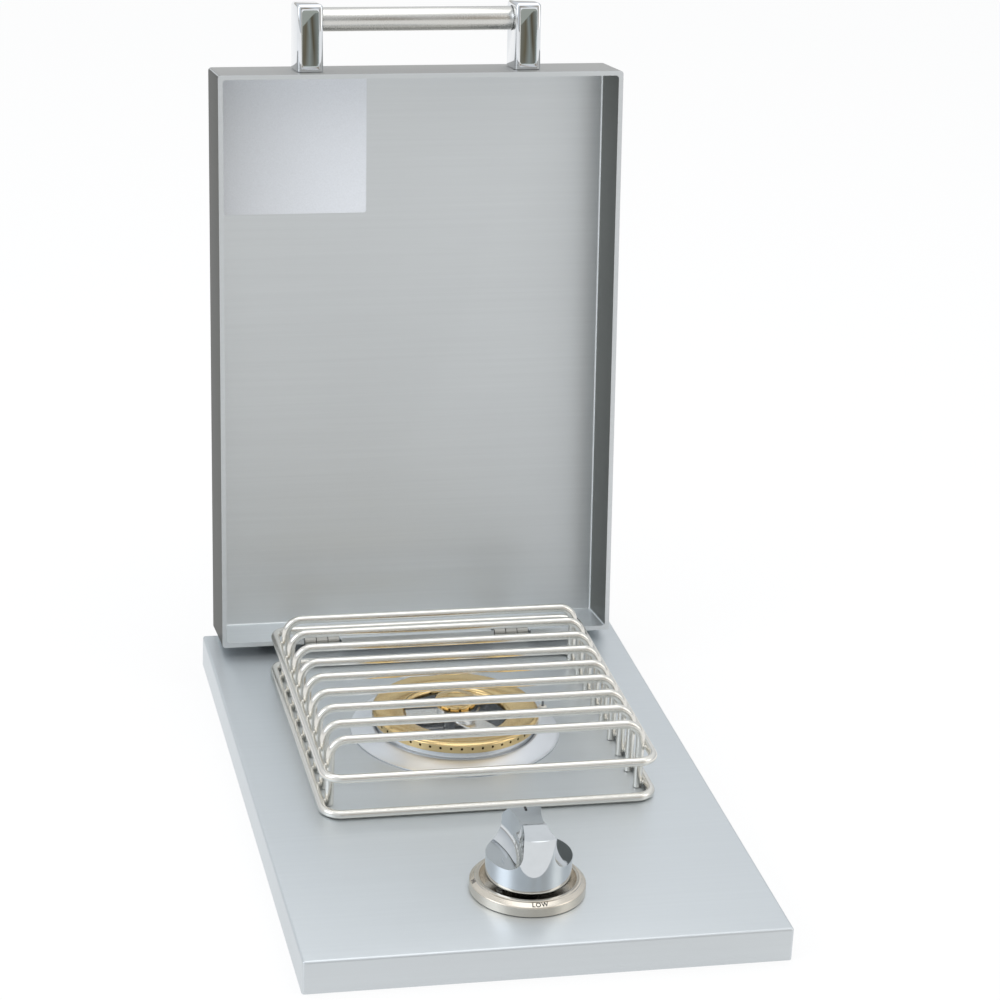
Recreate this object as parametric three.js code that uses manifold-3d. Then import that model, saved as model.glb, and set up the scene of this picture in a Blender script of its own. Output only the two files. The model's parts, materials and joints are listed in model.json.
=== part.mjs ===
// Built-in gas side burner with a hinged lid, for a cut-out in an outdoor worktop.
// Millimetres, +X to the right, +Y to the back, +Z up, with the lid standing open.
// The origin lies under the middle of the deck, on the underside of the housing floor.
import * as THREE from 'three';
import { mergeVertices } from 'three/addons/utils/BufferGeometryUtils.js';
import { RoundedBoxGeometry } from 'three/addons/geometries/RoundedBoxGeometry.js';
import Module from 'manifold-3d';

const wasm = await Module();
wasm.setup();

// Fits: the gap between touching pieces, the gap round a screw or pin, and how far cutters run past
const SEAT = 0.3;
const HOLE_GAP = 0.3;
const OVERRUN = 2;

// Deck: a folded tray, measured from its front edge and its top face
const DECK_WIDTH = 330;
const DECK_DEPTH = 508;
const DECK_DROP = 24;
const DECK_SHEET = 1.2;
const DECK_BEND = 2.4;
const DECK_RETURN = 14;
const STUD_RADIUS = 1.9;
const STUD_LENGTH = 7;
const STUD_INSET = 6.5;
const NUT_RADIUS = 3.9;
const NUT_HEIGHT = 3.2;

// Housing: the box below the deck
const HOUSING_DEPTH = 95;
const HOUSING_SIDE_MARGIN = 19;
const HOUSING_FRONT_MARGIN = 19;
const HOUSING_REAR_MARGIN = 44;
const HOUSING_SHEET = 1;
const HOUSING_FLANGE = 13;
const FLOOR_LIP = 11;
const FLOOR_SCREW_RISE = 6;
const VENT_LENGTH = 30;
const VENT_HEIGHT = 5;
const VENT_RISE = 30;
const VENT_EDGE = 45;
const VENT_COUNT = 6;
const CASE_SCREW_RADIUS = 1.6;
const CASE_SCREW_HEAD_RADIUS = 3.4;
const CASE_SCREW_HEAD = 1.8;
const CASE_SCREW_REACH = 4;

// Burner bowl: a polished trim ring that runs down into a spill bowl
const BURNER_BEHIND_GRATE_MIDDLE = 3.85;
const BOWL_BODY_GAP = 1.5;
const BOWL_CONE_SPREAD = 13.9;
const BOWL_CONE_HEIGHT = 7;
const BOWL_LIP_WIDTH = 2.4;
const BOWL_ROLL_RADIUS = 2;
const BOWL_FLOOR_BEND = 2.5;
const BOWL_DEPTH = 14;
const BOWL_SHEET = 0.8;
const BOWL_HOLE_CLEARANCE = 1;

// Burner body: a casting with a gas trough, a hub, three arms and an elbow
const BODY_RADIUS = 60;
const BODY_TROUGH_WIDTH = 19;
const BODY_WALL = 2.5;
const BODY_FLOOR = 4;
const BODY_RIM_HEIGHT = 10.7;
const HUB_RADIUS = 14;
const HUB_BORE_RADIUS = 9;
const HUB_TOP = 20.5;
const ARM_WIDTH = 21;
const ARM_TOP = 7;
const ARM_PASSAGE_RADIUS = 3.6;
const GAS_LINE_DROP = 33;
const SOCKET_RADIUS = 15.5;
const SOCKET_REACH = 50;
const SOCKET_DEPTH = 15;
const BURNER_SCREW_INSET = 10.5;
const BURNER_SCREW_REACH = 3;

// Burner ring and burner cap, brass
const RING_OVERHANG = 2.2;
const RING_INNER_OVERHANG = 3;
const RING_SKIRT_TOP = 16.8;
const RING_CREST_HEIGHT = 18.6;
const RING_INNER_TOP = 16.4;
const RING_ROOF = 1;
const RING_WALL = 2;
const RING_SPIGOT = 3.5;
const RING_PORT_HEIGHT = 14.6;
const RING_PORT_RADIUS = 0.95;
const RING_PORT_COUNT = 50;
const INNER_PORT_COUNT = 10;
const CAP_RADIUS = 15.3;
const CAP_SKIRT = 5;
const CAP_TOP = 27.6;
const CAP_WALL = 2;
const CAP_SPIGOT = 7;
const CAP_PORT_RISE = 2.2;
const CAP_PORT_RADIUS = 0.8;
const CAP_PORT_COUNT = 12;

// Support plate under the bowl
const SUPPORT_MARGIN = 10.8;
const SUPPORT_SHEET = 1.5;
const SUPPORT_LIP = 11;
const SUPPORT_SCREW_OFFSET = 35;

// Igniter
const ELECTRODE_FROM_BODY = 12;
const ELECTRODE_TURN = 12;
const INSULATOR_RADIUS = 3.2;
const INSULATOR_TOP = 8.6;
const INSULATOR_TAIL = 28;
const INSULATOR_COLLAR_RADIUS = 5.2;
const INSULATOR_COLLAR = 3.5;
const PIN_WIRE_RADIUS = 0.9;
const PIN_TIP_HEIGHT = 13.5;
const PIN_TIP_LEAN = 3.4;
const PIN_BEND = 2;
const CLIP_RADIUS = 5.6;
const CLIP_HEIGHT = 1;
const IGNITER_WIDTH = 20;
const IGNITER_DEPTH = 22;
const IGNITER_HEIGHT = 34;
const IGNITER_DROP = 12;
const LEAD_RADIUS = 1.5;
const LEAD_BEND = 12;
const LEAD_DROP = 64;
const LEAD_RUN = 30;

// Valve, hung under the deck below the knob
const KNOB_FROM_FRONT = 75.5;
const VALVE_CAP_SHEET = 2;
const VALVE_EAR_LENGTH = 50;
const VALVE_EAR_WIDTH = 17;
const VALVE_EAR = 6;
const VALVE_RADIUS = 12.5;
const VALVE_BOTTOM = 45;
const CHAMBER_RADIUS = 7.6;
const CHAMBER_DEPTH = 16.2;
const PLUG_TOP_RADIUS = 6.7;
const PLUG_BOTTOM_RADIUS = 5.2;
const PLUG_HEIGHT = 21;
const PLUG_SLOT_WIDTH = 3.6;
const PLUG_SLOT_DEPTH = 9;
const PLUG_PORT_RADIUS = 1.6;
const GAS_BOSS_RADIUS = 7.5;
const INLET_BOSS_REACH = 24;
const OUTLET_BOSS_REACH = 20;
const GAS_BORE_RADIUS = 2.6;
const STEM_RADIUS = 3;
const STEM_TOP = 15.4;
const STEM_FLAT_HEIGHT = 10;
const STEM_FLAT_DEPTH = 1;
const STEM_COLLAR_RADIUS = 5;
const STEM_COLLAR = 1.2;
const STEM_TANG_WIDTH = 3;
const STEM_TANG_LENGTH = 4.6;
const STEM_TANG_BREADTH = 5.4;
const STEM_PLUG_GAP = 3.8;
const WASHER_RADIUS = 6.6;
const WASHER_HEIGHT = 1;
const SPRING_RADIUS = 5.1;
const SPRING_WIRE_RADIUS = 0.45;
const SPRING_TURN_COUNT = 5;
const STEM_HOLE_RADIUS = 6;
const VALVE_SCREW_SPACING = 36;
const VALVE_SCREW_RADIUS = 1.7;
const VALVE_SCREW_HEAD_RADIUS = 3.2;
const VALVE_SCREW_HEAD = 2;
const VALVE_SCREW_LENGTH = 12;

// Jet, air shutter and mixing tube on the gas line
const JET_HEX_RADIUS = 5;
const JET_HEX_LENGTH = 6;
const JET_NOSE_RADIUS = 2.9;
const JET_NOSE_LENGTH = 5;
const JET_BORE_RADIUS = 0.7;
const JET_STUB_RADIUS = 2.3;
const JET_STUB_LENGTH = 6;
const SHUTTER_SHEET = 1;
const SHUTTER_LENGTH = 22;
const SHUTTER_WINDOW_LENGTH = 11;
const SHUTTER_WINDOW_WIDTH = 13;
const SHUTTER_WINDOW_START = 5;
const SHUTTER_SCREW_RADIUS = 1.5;
const SHUTTER_SCREW_HEAD = 3;
const SHUTTER_SCREW_HEAD_RADIUS = 3;
const TUBE_MOUTH_RADIUS = 15;
const TUBE_MOUTH_LENGTH = 26;
const TUBE_TAPER_LENGTH = 26;
const TUBE_RADIUS = 12;
const TUBE_WALL = 1.5;

// Gas pipe and inlet
const PIPE_RADIUS = 5;
const PIPE_WALL = 1;
const PIPE_BEND = 24;
const PIPE_WALL_DISTANCE = 27;
const PIPE_NUT_RADIUS = 8;
const PIPE_NUT_LENGTH = 9;
const INLET_RADIUS = 9;
const INLET_THREAD_RADIUS = 10.4;
const INLET_THREAD_LENGTH = 15;
const INLET_HEX_RADIUS = 15;
const INLET_HEX_LENGTH = 6;
const INLET_INNER_LENGTH = 14;
const INLET_BORE_RADIUS = 6.4;
const INLET_BORE_DEPTH = 20;
const INLET_NUT_LENGTH = 5;

// Bezel round the knob
const BEZEL_RADIUS = 39.5;
const BEZEL_INNER_RADIUS = 32.6;
const BEZEL_WALL_HEIGHT = 7.6;
const BEZEL_TOP = 10.6;
const BEZEL_FLOOR = 1.5;
const BEZEL_FLOOR_HOLE = 8;

// Knob: a round casting with a waisted grip from front to back
const KNOB_RADIUS = 30;
const KNOB_BASE = 5.6;
const KNOB_SHOULDER = 32;
const KNOB_WALL = 3;
const KNOB_CAVITY_TOP = 18;
const GRIP_FRONT_TOP = 54.5;
const GRIP_BACK_TOP = 52;
const GRIP_END_WIDTH = 21;
const GRIP_WAIST_WIDTH = 17;
const GRIP_SPREAD = 5;
const CORE_WEB = 4;
const CORE_HUB_RADIUS = 8.5;
const CORE_HUB_LENGTH = 7;

// Grate: welded rods
const ROD_DIAMETER = 6.3;
const GRATE_FRONT = 190;
const GRATE_BACK_MARGIN = 66.7;
const GRATE_WIDTH = 238.6;
const GRATE_CORNER = 13;
const UPPER_RING_HEIGHT = 31.4;
const BAR_HEIGHT = 50.5;
const BAR_BEND = 12;
const BAR_INSET = 22.6;
const BAR_COUNT = 9;
const WELD_GAP = 0.4;
const WELD_LENGTH = 4;
const WELD_CROWN = 0.15;

// Lid, measured closed: how far its skirts stand inside the deck's edges, and its depth
const LID_SIDE_SETBACK = 10;
const LID_FRONT_SETBACK = 28.4;
const LID_BACK_SETBACK = 37;
const LID_DEPTH = 58.3;
const LID_SHEET = 1;
const LID_BEND = 2.4;
const LID_HEM = 3.5;
const LID_RIM_GAP = 1;
const LABEL_WIDTH = 119.5;
const LABEL_LENGTH = 110.5;
const LABEL_SHEET = 0.4;
const LABEL_EDGE = 1.5;

// Lid hinges
const HINGE_FROM_LID_SIDE = 79;
const HINGE_WIDTH = 27;
const HINGE_ABOVE_RIM = 6.41;
const HINGE_GAP = 0.4;
const KNUCKLE_RADIUS = 3.75;
const KNUCKLE_MIDDLE = 9;
const HINGE_PIN_RADIUS = 1.5;
const HINGE_PIN_HEAD_RADIUS = 2.3;
const HINGE_PIN_HEAD = 0.6;
const LEAF_SHEET = 1.5;
const FIXED_LEAF_DEPTH = 21;
const MOVING_LEAF_HEIGHT = 24;
const NOTCH_WIDTH = 30;
const NOTCH_DEPTH = 13;
const LEAF_SCREW_X = 9.4;
const LEAF_SCREW_Y = 14;
const LEAF_SCREW_RADIUS = 1.5;
const LEAF_SCREW_HEAD_RADIUS = 2.8;
const LEAF_SCREW_HEAD = 0.9;
const LEAF_SCREW_LENGTH = 6;
const RIVET_X = 3.2;
const RIVET_HEIGHT = 18;
const RIVET_RADIUS = 1.3;
const RIVET_HEAD_RADIUS = 2.2;
const RIVET_HEAD = 0.9;

// What the open lid leans on at the deck's rear edge
const LID_REST_HEIGHT = 2.29;
const PAD_WIDTH = 20;
const PAD_DEPTH = 12;
const PAD_EDGE = 2;
const PAD_FROM_LID_SIDE = 43;

// Handle on the lid's front skirt
const HANDLE_SPACING = 167;
const POST_WIDTH = 20;
const POST_DEPTH = 32;
const POST_HEIGHT = 50;
const POST_EDGE = 3;
const POST_PANEL_WIDTH = 12.6;
const POST_PANEL_FOOT = 6;
const POST_PANEL_HEAD = 12;
const POST_PANEL_SINK = 1.5;
const HANDLE_RADIUS = 9;
const HANDLE_AXIS_BELOW_TOP = 12.6;
const HANDLE_SOCKET = 4;
const HANDLE_SCREW_RADIUS = 2;
const HANDLE_SCREW_HEAD_RADIUS = 4;
const HANDLE_SCREW_HEAD = 2;
const HANDLE_SCREW_REACH = 10;
const HANDLE_SCREW_OFFSET = 8;

// Counts of sides and steps
const ROD_SIDES = 8;
const WIRE_SIDES = 5;
const BEND_STEPS = 4;
const SHEET_BEND_STEPS = 3;
const TURN_SIDES = 36;
const SMALL_SIDES = 16;
const SCREW_SIDES = 8;
const PORT_SIDES = 4;
const HEX_SIDES = 6;
const BEND_SEGMENTS = 1;
const GRIP_SIDES = 72;
const SPRING_STEPS_PER_TURN = 7;

// Shares: the knob's top line from front to back, the bezel's rounded shoulder, and places along the housing
const GRIP_TOP_SHARES = [[0, 1], [0.12, 0.98], [0.3, 0.62], [0.5, 0.3], [0.72, 0.12], [1, 0]];
const BEZEL_SHOULDER_SHARES = [[0, 0], [0.06, 0.5], [0.24, 0.83], [0.52, 1], [0.86, 1], [1, 0.8]];
const STUD_SHARES = [0.07, 0.93];
const FLOOR_SCREW_SHARES = [0.12, 0.88];
const QUARTER = Math.PI / 2;
const { lerp } = THREE.MathUtils;

// Places worked out from the sizes
const rodRadius = ROD_DIAMETER / 2;
const grateDepth = DECK_DEPTH - GRATE_FRONT - GRATE_BACK_MARGIN;
const burnerY = GRATE_FRONT + grateDepth / 2 + BURNER_BEHIND_GRATE_MIDDLE;
const deckUnder = -DECK_SHEET;
const housing = {
  left: -DECK_WIDTH / 2 + HOUSING_SIDE_MARGIN,
  right: DECK_WIDTH / 2 - HOUSING_SIDE_MARGIN,
  front: HOUSING_FRONT_MARGIN,
  back: DECK_DEPTH - HOUSING_REAR_MARGIN,
  top: deckUnder - SEAT,
  floor: -HOUSING_DEPTH,
};
const bodyInnerRadius = BODY_RADIUS - BODY_TROUGH_WIDTH;
const burnerScrewCircle = BODY_RADIUS - BURNER_SCREW_INSET;
const bowlThroatRadius = BODY_RADIUS + BOWL_BODY_GAP;
const bowlFootRadius = bowlThroatRadius + BOWL_CONE_SPREAD;
const bowlLipRadius = bowlFootRadius + BOWL_LIP_WIDTH;
const ringRadius = BODY_RADIUS + RING_OVERHANG;
const ringInnerRadius = bodyInnerRadius - RING_INNER_OVERHANG;
const ringSeat = BODY_RIM_HEIGHT + SEAT;
const bodyBottom = -BOWL_DEPTH + SEAT;
const bowlUnder = -BOWL_DEPTH - BOWL_SHEET;
const supportTop = bowlUnder - SEAT;
const supportUnder = supportTop - SUPPORT_SHEET;
const capSeat = HUB_TOP + SEAT;
const armTurns = [Math.PI, Math.PI / 3, -Math.PI / 3];
const electrodeTurn = THREE.MathUtils.degToRad(ELECTRODE_TURN);
const electrodeReach = BODY_RADIUS + ELECTRODE_FROM_BODY;
const electrodeX = electrodeReach * Math.cos(electrodeTurn);
const electrodeY = electrodeReach * Math.sin(electrodeTurn);
const valveCapTop = deckUnder - SEAT;
const valveTop = valveCapTop - VALVE_CAP_SHEET - SEAT;
const plugTop = valveTop - CHAMBER_DEPTH;
const gasLine = -GAS_LINE_DROP;
const jetTip = OUTLET_BOSS_REACH + SEAT + JET_HEX_LENGTH + JET_NOSE_LENGTH;
const shutterFront = OUTLET_BOSS_REACH + SEAT + JET_HEX_LENGTH + SEAT;
const tubeFront = shutterFront + SHUTTER_SHEET + SEAT;
const tubeBack = burnerY - KNOB_FROM_FRONT - SOCKET_REACH + SOCKET_DEPTH - SEAT;
const pipeX = housing.right - PIPE_WALL_DISTANCE;
const inletInner = housing.back - HOUSING_SHEET - INLET_INNER_LENGTH;
const hingeHeight = LID_RIM_GAP + HINGE_ABOVE_RIM;
const hingeY = DECK_DEPTH - LID_BACK_SETBACK;
const lidLength = hingeY - LID_FRONT_SETBACK;
const lidWidth = DECK_WIDTH - LID_SIDE_SETBACK - LID_SIDE_SETBACK;
const hingeX = lidWidth / 2 - HINGE_FROM_LID_SIDE;
const padX = lidWidth / 2 - PAD_FROM_LID_SIDE;
const lidTilt = Math.atan((hingeHeight - LID_REST_HEIGHT) / (DECK_DEPTH - hingeY));
const lidRim = -HINGE_ABOVE_RIM;
const lidTop = LID_DEPTH - HINGE_ABOVE_RIM;
const knuckleOuter = (HINGE_WIDTH - KNUCKLE_MIDDLE) / 2 - HINGE_GAP;
const ringHalfWidth = GRATE_WIDTH / 2;
const legX = ringHalfWidth - ROD_DIAMETER - SEAT;
const barPitch = (grateDepth - BAR_INSET - BAR_INSET) / (BAR_COUNT - 1);

// Materials
function material(color, roughness, metalness) {
  return new THREE.MeshStandardMaterial({ color, roughness, metalness });
}
const deckSteel = material(0xc6cdd2, 0.4, 0.9);
const lidSteel = material(0xb8bbbc, 0.42, 0.9);
const galvanised = material(0xa9adb0, 0.55, 0.8);
const polished = material(0xdcdfe2, 0.15, 1);
const rodSteel = material(0xcfc9bd, 0.35, 0.9);
const castAluminium = material(0xb4b6b6, 0.6, 0.7);
const brass = material(0xd9b96a, 0.35, 0.9);
const chrome = material(0xe4e8ec, 0.08, 1);
const nickel = material(0xc8c3b6, 0.35, 0.9);
const satinTube = material(0xd2d0ca, 0.3, 0.9);
const plastic = material(0x1d1e20, 0.55, 0);
const rubber = material(0x202122, 0.8, 0);
const ceramic = material(0xe9e6df, 0.5, 0);
const foil = material(0xd3d8e0, 0.5, 0.1);
const springSteel = material(0x8f9294, 0.4, 0.9);
const silicone = material(0x8a2c22, 0.6, 0);

// Turns a closed geometry into a solid that can be joined and cut
function solid(geometry) {
  const bare = new THREE.BufferGeometry();
  bare.setAttribute('position', geometry.getAttribute('position').clone());
  bare.setIndex(geometry.index ? geometry.index.clone() : null);
  const merged = mergeVertices(bare);
  const corners = merged.index.array;
  const triVerts = [];
  for (let i = 0; i < corners.length; i += 3) {
    const [a, b, c] = [corners[i], corners[i + 1], corners[i + 2]];
    if (a !== b && b !== c && c !== a) triVerts.push(a, b, c);
  }
  return new wasm.Manifold(new wasm.Mesh({
    numProp: 3,
    vertProperties: new Float32Array(merged.getAttribute('position').array),
    triVerts: new Uint32Array(triVerts),
  }));
}

// Turns a solid back into a geometry
function geometryOf(body) {
  const mesh = body.getMesh();
  const geometry = new THREE.BufferGeometry();
  geometry.setAttribute('position', new THREE.BufferAttribute(new Float32Array(mesh.vertProperties), 3));
  geometry.setIndex(new THREE.BufferAttribute(new Uint32Array(mesh.triVerts), 1));
  geometry.computeVertexNormals();
  return geometry;
}

const join = (...shapes) => geometryOf(shapes.map(solid).reduce((sum, next) => sum.add(next)));

function cut(shape, ...cutters) {
  return geometryOf(cutters.map(solid).reduce((rest, next) => rest.subtract(next), solid(shape)));
}

// Round, square and six-sided blanks
function block(x0, x1, y0, y1, z0, z1) {
  const box = new THREE.BoxGeometry(x1 - x0, y1 - y0, z1 - z0);
  return box.translate((x0 + x1) / 2, (y0 + y1) / 2, (z0 + z1) / 2);
}

function softBlock(x0, x1, y0, y1, z0, z1, radius) {
  const box = new RoundedBoxGeometry(x1 - x0, y1 - y0, z1 - z0, BEND_SEGMENTS, radius);
  return box.translate((x0 + x1) / 2, (y0 + y1) / 2, (z0 + z1) / 2);
}

function rodZ(radius, z0, z1, sides, x = 0, y = 0, endRadius = radius) {
  const rod = new THREE.CylinderGeometry(endRadius, radius, z1 - z0, sides).rotateX(QUARTER);
  return rod.translate(x, y, (z0 + z1) / 2);
}

function rodY(radius, y0, y1, sides, x = 0, z = 0) {
  return new THREE.CylinderGeometry(radius, radius, y1 - y0, sides).translate(x, (y0 + y1) / 2, z);
}

function rodX(radius, x0, x1, sides, y = 0, z = 0) {
  const rod = new THREE.CylinderGeometry(radius, radius, x1 - x0, sides).rotateZ(QUARTER);
  return rod.translate((x0 + x1) / 2, y, z);
}

// A cylinder that points outwards from the Z axis at a height
function spoke(radius, from, to, sides, turn, z) {
  return rodX(radius, from, to, sides).rotateZ(turn).translate(0, 0, z);
}

// Turns an outline of [radius, height] points, given anticlockwise, about the Z axis
function turned(outline, sides = TURN_SIDES) {
  const points = outline.map(([r, z]) => new THREE.Vector2(r, z));
  if (outline[0][0] !== 0) points.push(points[0].clone());
  return new THREE.LatheGeometry(points, sides).rotateX(QUARTER);
}

// Turns an outline of [radius, length] points about the Y axis
const turnedAlongY = (outline, sides) => turned(outline, sides).rotateX(-QUARTER);

// Extrudes an outline of [y, z] points along X
function prismX(outline, x0, x1) {
  const shape = new THREE.Shape(outline.map(([y, z]) => new THREE.Vector2(y, z)));
  const prism = new THREE.ExtrudeGeometry(shape, { depth: x1 - x0, bevelEnabled: false });
  const basis = new THREE.Matrix4().makeBasis(
    new THREE.Vector3(0, 1, 0), new THREE.Vector3(0, 0, 1), new THREE.Vector3(1, 0, 0));
  return prism.applyMatrix4(basis).translate(x0, 0, 0);
}

// A path of straight runs and round bends that is read at its stations only
class BentPath extends THREE.Curve {
  constructor(corners, bend, steps = BEND_STEPS) {
    super();
    this.points = [corners[0]];
    this.tangents = [corners[1].clone().sub(corners[0]).normalize()];
    for (let i = 1; i < corners.length - 1; i += 1) {
      const before = corners[i].clone().sub(corners[i - 1]).normalize();
      const after = corners[i + 1].clone().sub(corners[i]).normalize();
      const turn = before.angleTo(after);
      const reach = bend * Math.tan(turn / 2);
      const side = after.clone().addScaledVector(before, -after.dot(before)).normalize();
      const start = corners[i].clone().addScaledVector(before, -reach);
      for (let k = 0; k <= steps; k += 1) {
        const angle = turn * k / steps;
        const along = bend * Math.sin(angle);
        const across = bend * (1 - Math.cos(angle));
        this.points.push(start.clone().addScaledVector(before, along).addScaledVector(side, across));
        const tangent = before.clone().multiplyScalar(Math.cos(angle));
        this.tangents.push(tangent.addScaledVector(side, Math.sin(angle)));
      }
    }
    this.points.push(corners[corners.length - 1]);
    this.tangents.push(corners[corners.length - 1].clone().sub(corners[corners.length - 2]).normalize());
  }

  get steps() {
    return this.points.length - 1;
  }

  getPointAt(share) {
    return this.points[Math.round(share * this.steps)].clone();
  }

  getTangentAt(share) {
    return this.tangents[Math.round(share * this.steps)].clone();
  }
}

function tubeAlong(path, radius, sides, steps = path.steps) {
  const section = [];
  for (let i = 0; i < sides; i += 1) {
    const angle = 2 * Math.PI * i / sides;
    section.push(new THREE.Vector2(radius * Math.cos(angle), radius * Math.sin(angle)));
  }
  return new THREE.ExtrudeGeometry(new THREE.Shape(section), { steps, extrudePath: path });
}

const bentTube = (corners, bend, radius, sides) => tubeAlong(new BentPath(corners, bend), radius, sides);
const at = (x, y, z) => new THREE.Vector3(x, y, z);

// Rounds the corners of a flat line of [point, bend] pairs
function roundedLine(corners) {
  const line = [];
  corners.forEach(([x, y, bend], i) => {
    if (!bend) {
      line.push([x, y]);
      return;
    }
    const ends = [corners[i - 1], corners[i], corners[i + 1]].map(([u, v]) => at(u, v, 0));
    const path = new BentPath(ends, bend, SHEET_BEND_STEPS);
    path.points.slice(1, -1).forEach((point) => line.push([point.x, point.y]));
  });
  return line;
}

// Gives a flat line a thickness on its right-hand side and returns the closed outline
function sheetOutline(line, sheet) {
  const under = line.map(([x, y], i) => {
    const before = line[Math.max(i - 1, 0)];
    const after = line[Math.min(i + 1, line.length - 1)];
    const first = at(x - before[0], y - before[1], 0).normalize();
    const second = at(after[0] - x, after[1] - y, 0).normalize();
    const run = first.add(second).normalize();
    return [x + run.y * sheet, y - run.x * sheet];
  });
  return [...line, ...under.reverse()];
}

function piece(parent, name, finish, geometry) {
  const mesh = new THREE.Mesh(geometry, finish);
  mesh.name = name;
  parent.add(mesh);
  return mesh;
}

function groupAt(parent, x, y, z) {
  const group = new THREE.Group();
  group.position.set(x, y, z);
  parent.add(group);
  return group;
}

// A screw or rivet along +Z: its head's underside is at z = 0 and its shank runs down
function screwBlank(shankRadius, length, headRadius, head) {
  return join(rodZ(shankRadius, -length, head / 2, SCREW_SIDES), rodZ(headRadius, 0, head, SCREW_SIDES));
}

// Screws that hold a sheet to the inside of the housing's side walls, one to each side at each place
function wallScrews(ys, z) {
  const length = HOUSING_SHEET + SEAT + SEAT + CASE_SCREW_REACH;
  const blank = screwBlank(CASE_SCREW_RADIUS, length, CASE_SCREW_HEAD_RADIUS, CASE_SCREW_HEAD);
  return ys.flatMap((y) => [
    blank.clone().rotateY(QUARTER).translate(housing.right + SEAT, y, z),
    blank.clone().rotateY(-QUARTER).translate(housing.left - SEAT, y, z),
  ]);
}

const part = new THREE.Group();
const deck = groupAt(part, 0, -DECK_DEPTH / 2, HOUSING_DEPTH);
const burner = groupAt(deck, 0, burnerY, 0);
const valve = groupAt(deck, 0, KNOB_FROM_FRONT, 0);
const lid = groupAt(deck, 0, hingeY, hingeHeight);
lid.rotation.x = -QUARTER - lidTilt;

// Deck panel with its welded studs
const studPlaces = [];
for (const x of [housing.left + HOUSING_SHEET + STUD_INSET, housing.right - HOUSING_SHEET - STUD_INSET]) {
  for (const share of STUD_SHARES) {
    studPlaces.push([x, lerp(housing.front, housing.back, share)]);
  }
}
const studBottom = housing.top - HOUSING_SHEET - STUD_LENGTH;

function deckPanel() {
  const half = DECK_WIDTH / 2;
  const tray = softBlock(-half, half, 0, DECK_DEPTH, -DECK_DROP - DECK_DROP, 0, DECK_BEND);
  const inner = softBlock(-half + DECK_SHEET, half - DECK_SHEET, DECK_SHEET, DECK_DEPTH - DECK_SHEET,
    -DECK_DROP + DECK_SHEET, -DECK_SHEET, DECK_BEND - DECK_SHEET);
  const mouth = block(-half + DECK_RETURN, half - DECK_RETURN, DECK_RETURN, DECK_DEPTH - DECK_RETURN,
    -DECK_DROP - OVERRUN, -DECK_DROP + DECK_SHEET + OVERRUN);
  const below = block(-half - OVERRUN, half + OVERRUN, -OVERRUN, DECK_DEPTH + OVERRUN,
    -DECK_DROP - DECK_DROP - OVERRUN, -DECK_DROP);
  const hole = (radius, x, y, sides) => rodZ(radius, -DECK_SHEET - OVERRUN, OVERRUN, sides, x, y);
  const holes = [
    hole(bowlThroatRadius + BOWL_SHEET + BOWL_HOLE_CLEARANCE, 0, burnerY, TURN_SIDES),
    hole(INSULATOR_RADIUS + BOWL_HOLE_CLEARANCE, electrodeX, burnerY + electrodeY, SMALL_SIDES),
    hole(STEM_HOLE_RADIUS, 0, KNOB_FROM_FRONT, SMALL_SIDES),
  ];
  for (const side of [-1, 1]) {
    const valveScrewX = side * VALVE_SCREW_SPACING / 2;
    holes.push(hole(VALVE_SCREW_RADIUS + HOLE_GAP, valveScrewX, KNOB_FROM_FRONT, SCREW_SIDES));
    for (const place of [-LEAF_SCREW_X, LEAF_SCREW_X]) {
      const leafScrewX = side * hingeX + place;
      holes.push(hole(LEAF_SCREW_RADIUS + HOLE_GAP, leafScrewX, hingeY + LEAF_SCREW_Y, SCREW_SIDES));
    }
  }
  const studs = studPlaces.map(([x, y]) => rodZ(STUD_RADIUS, studBottom, -DECK_SHEET / 2, SCREW_SIDES, x, y));
  return join(cut(tray, below, inner, mouth, ...holes), ...studs);
}
piece(deck, 'deck_panel', deckSteel, deckPanel());

// Housing: a shell with air slots and welded nuts, and a floor with its screws
const ventPitch = (housing.back - housing.front - VENT_EDGE - VENT_EDGE - VENT_LENGTH) / (VENT_COUNT - 1);

function sideHoles(radius, y, z) {
  return rodX(radius, housing.left - OVERRUN, housing.right + OVERRUN, SCREW_SIDES, y, z);
}
const floorScrewYs = FLOOR_SCREW_SHARES.map((share) => lerp(housing.front, housing.back, share));
const floorScrewZ = housing.floor + HOUSING_SHEET + FLOOR_SCREW_RISE;
const supportScrewYs = [-SUPPORT_SCREW_OFFSET, SUPPORT_SCREW_OFFSET].map((y) => burnerY + y);
const supportScrewZ = supportTop + SUPPORT_LIP / 2;

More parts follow.
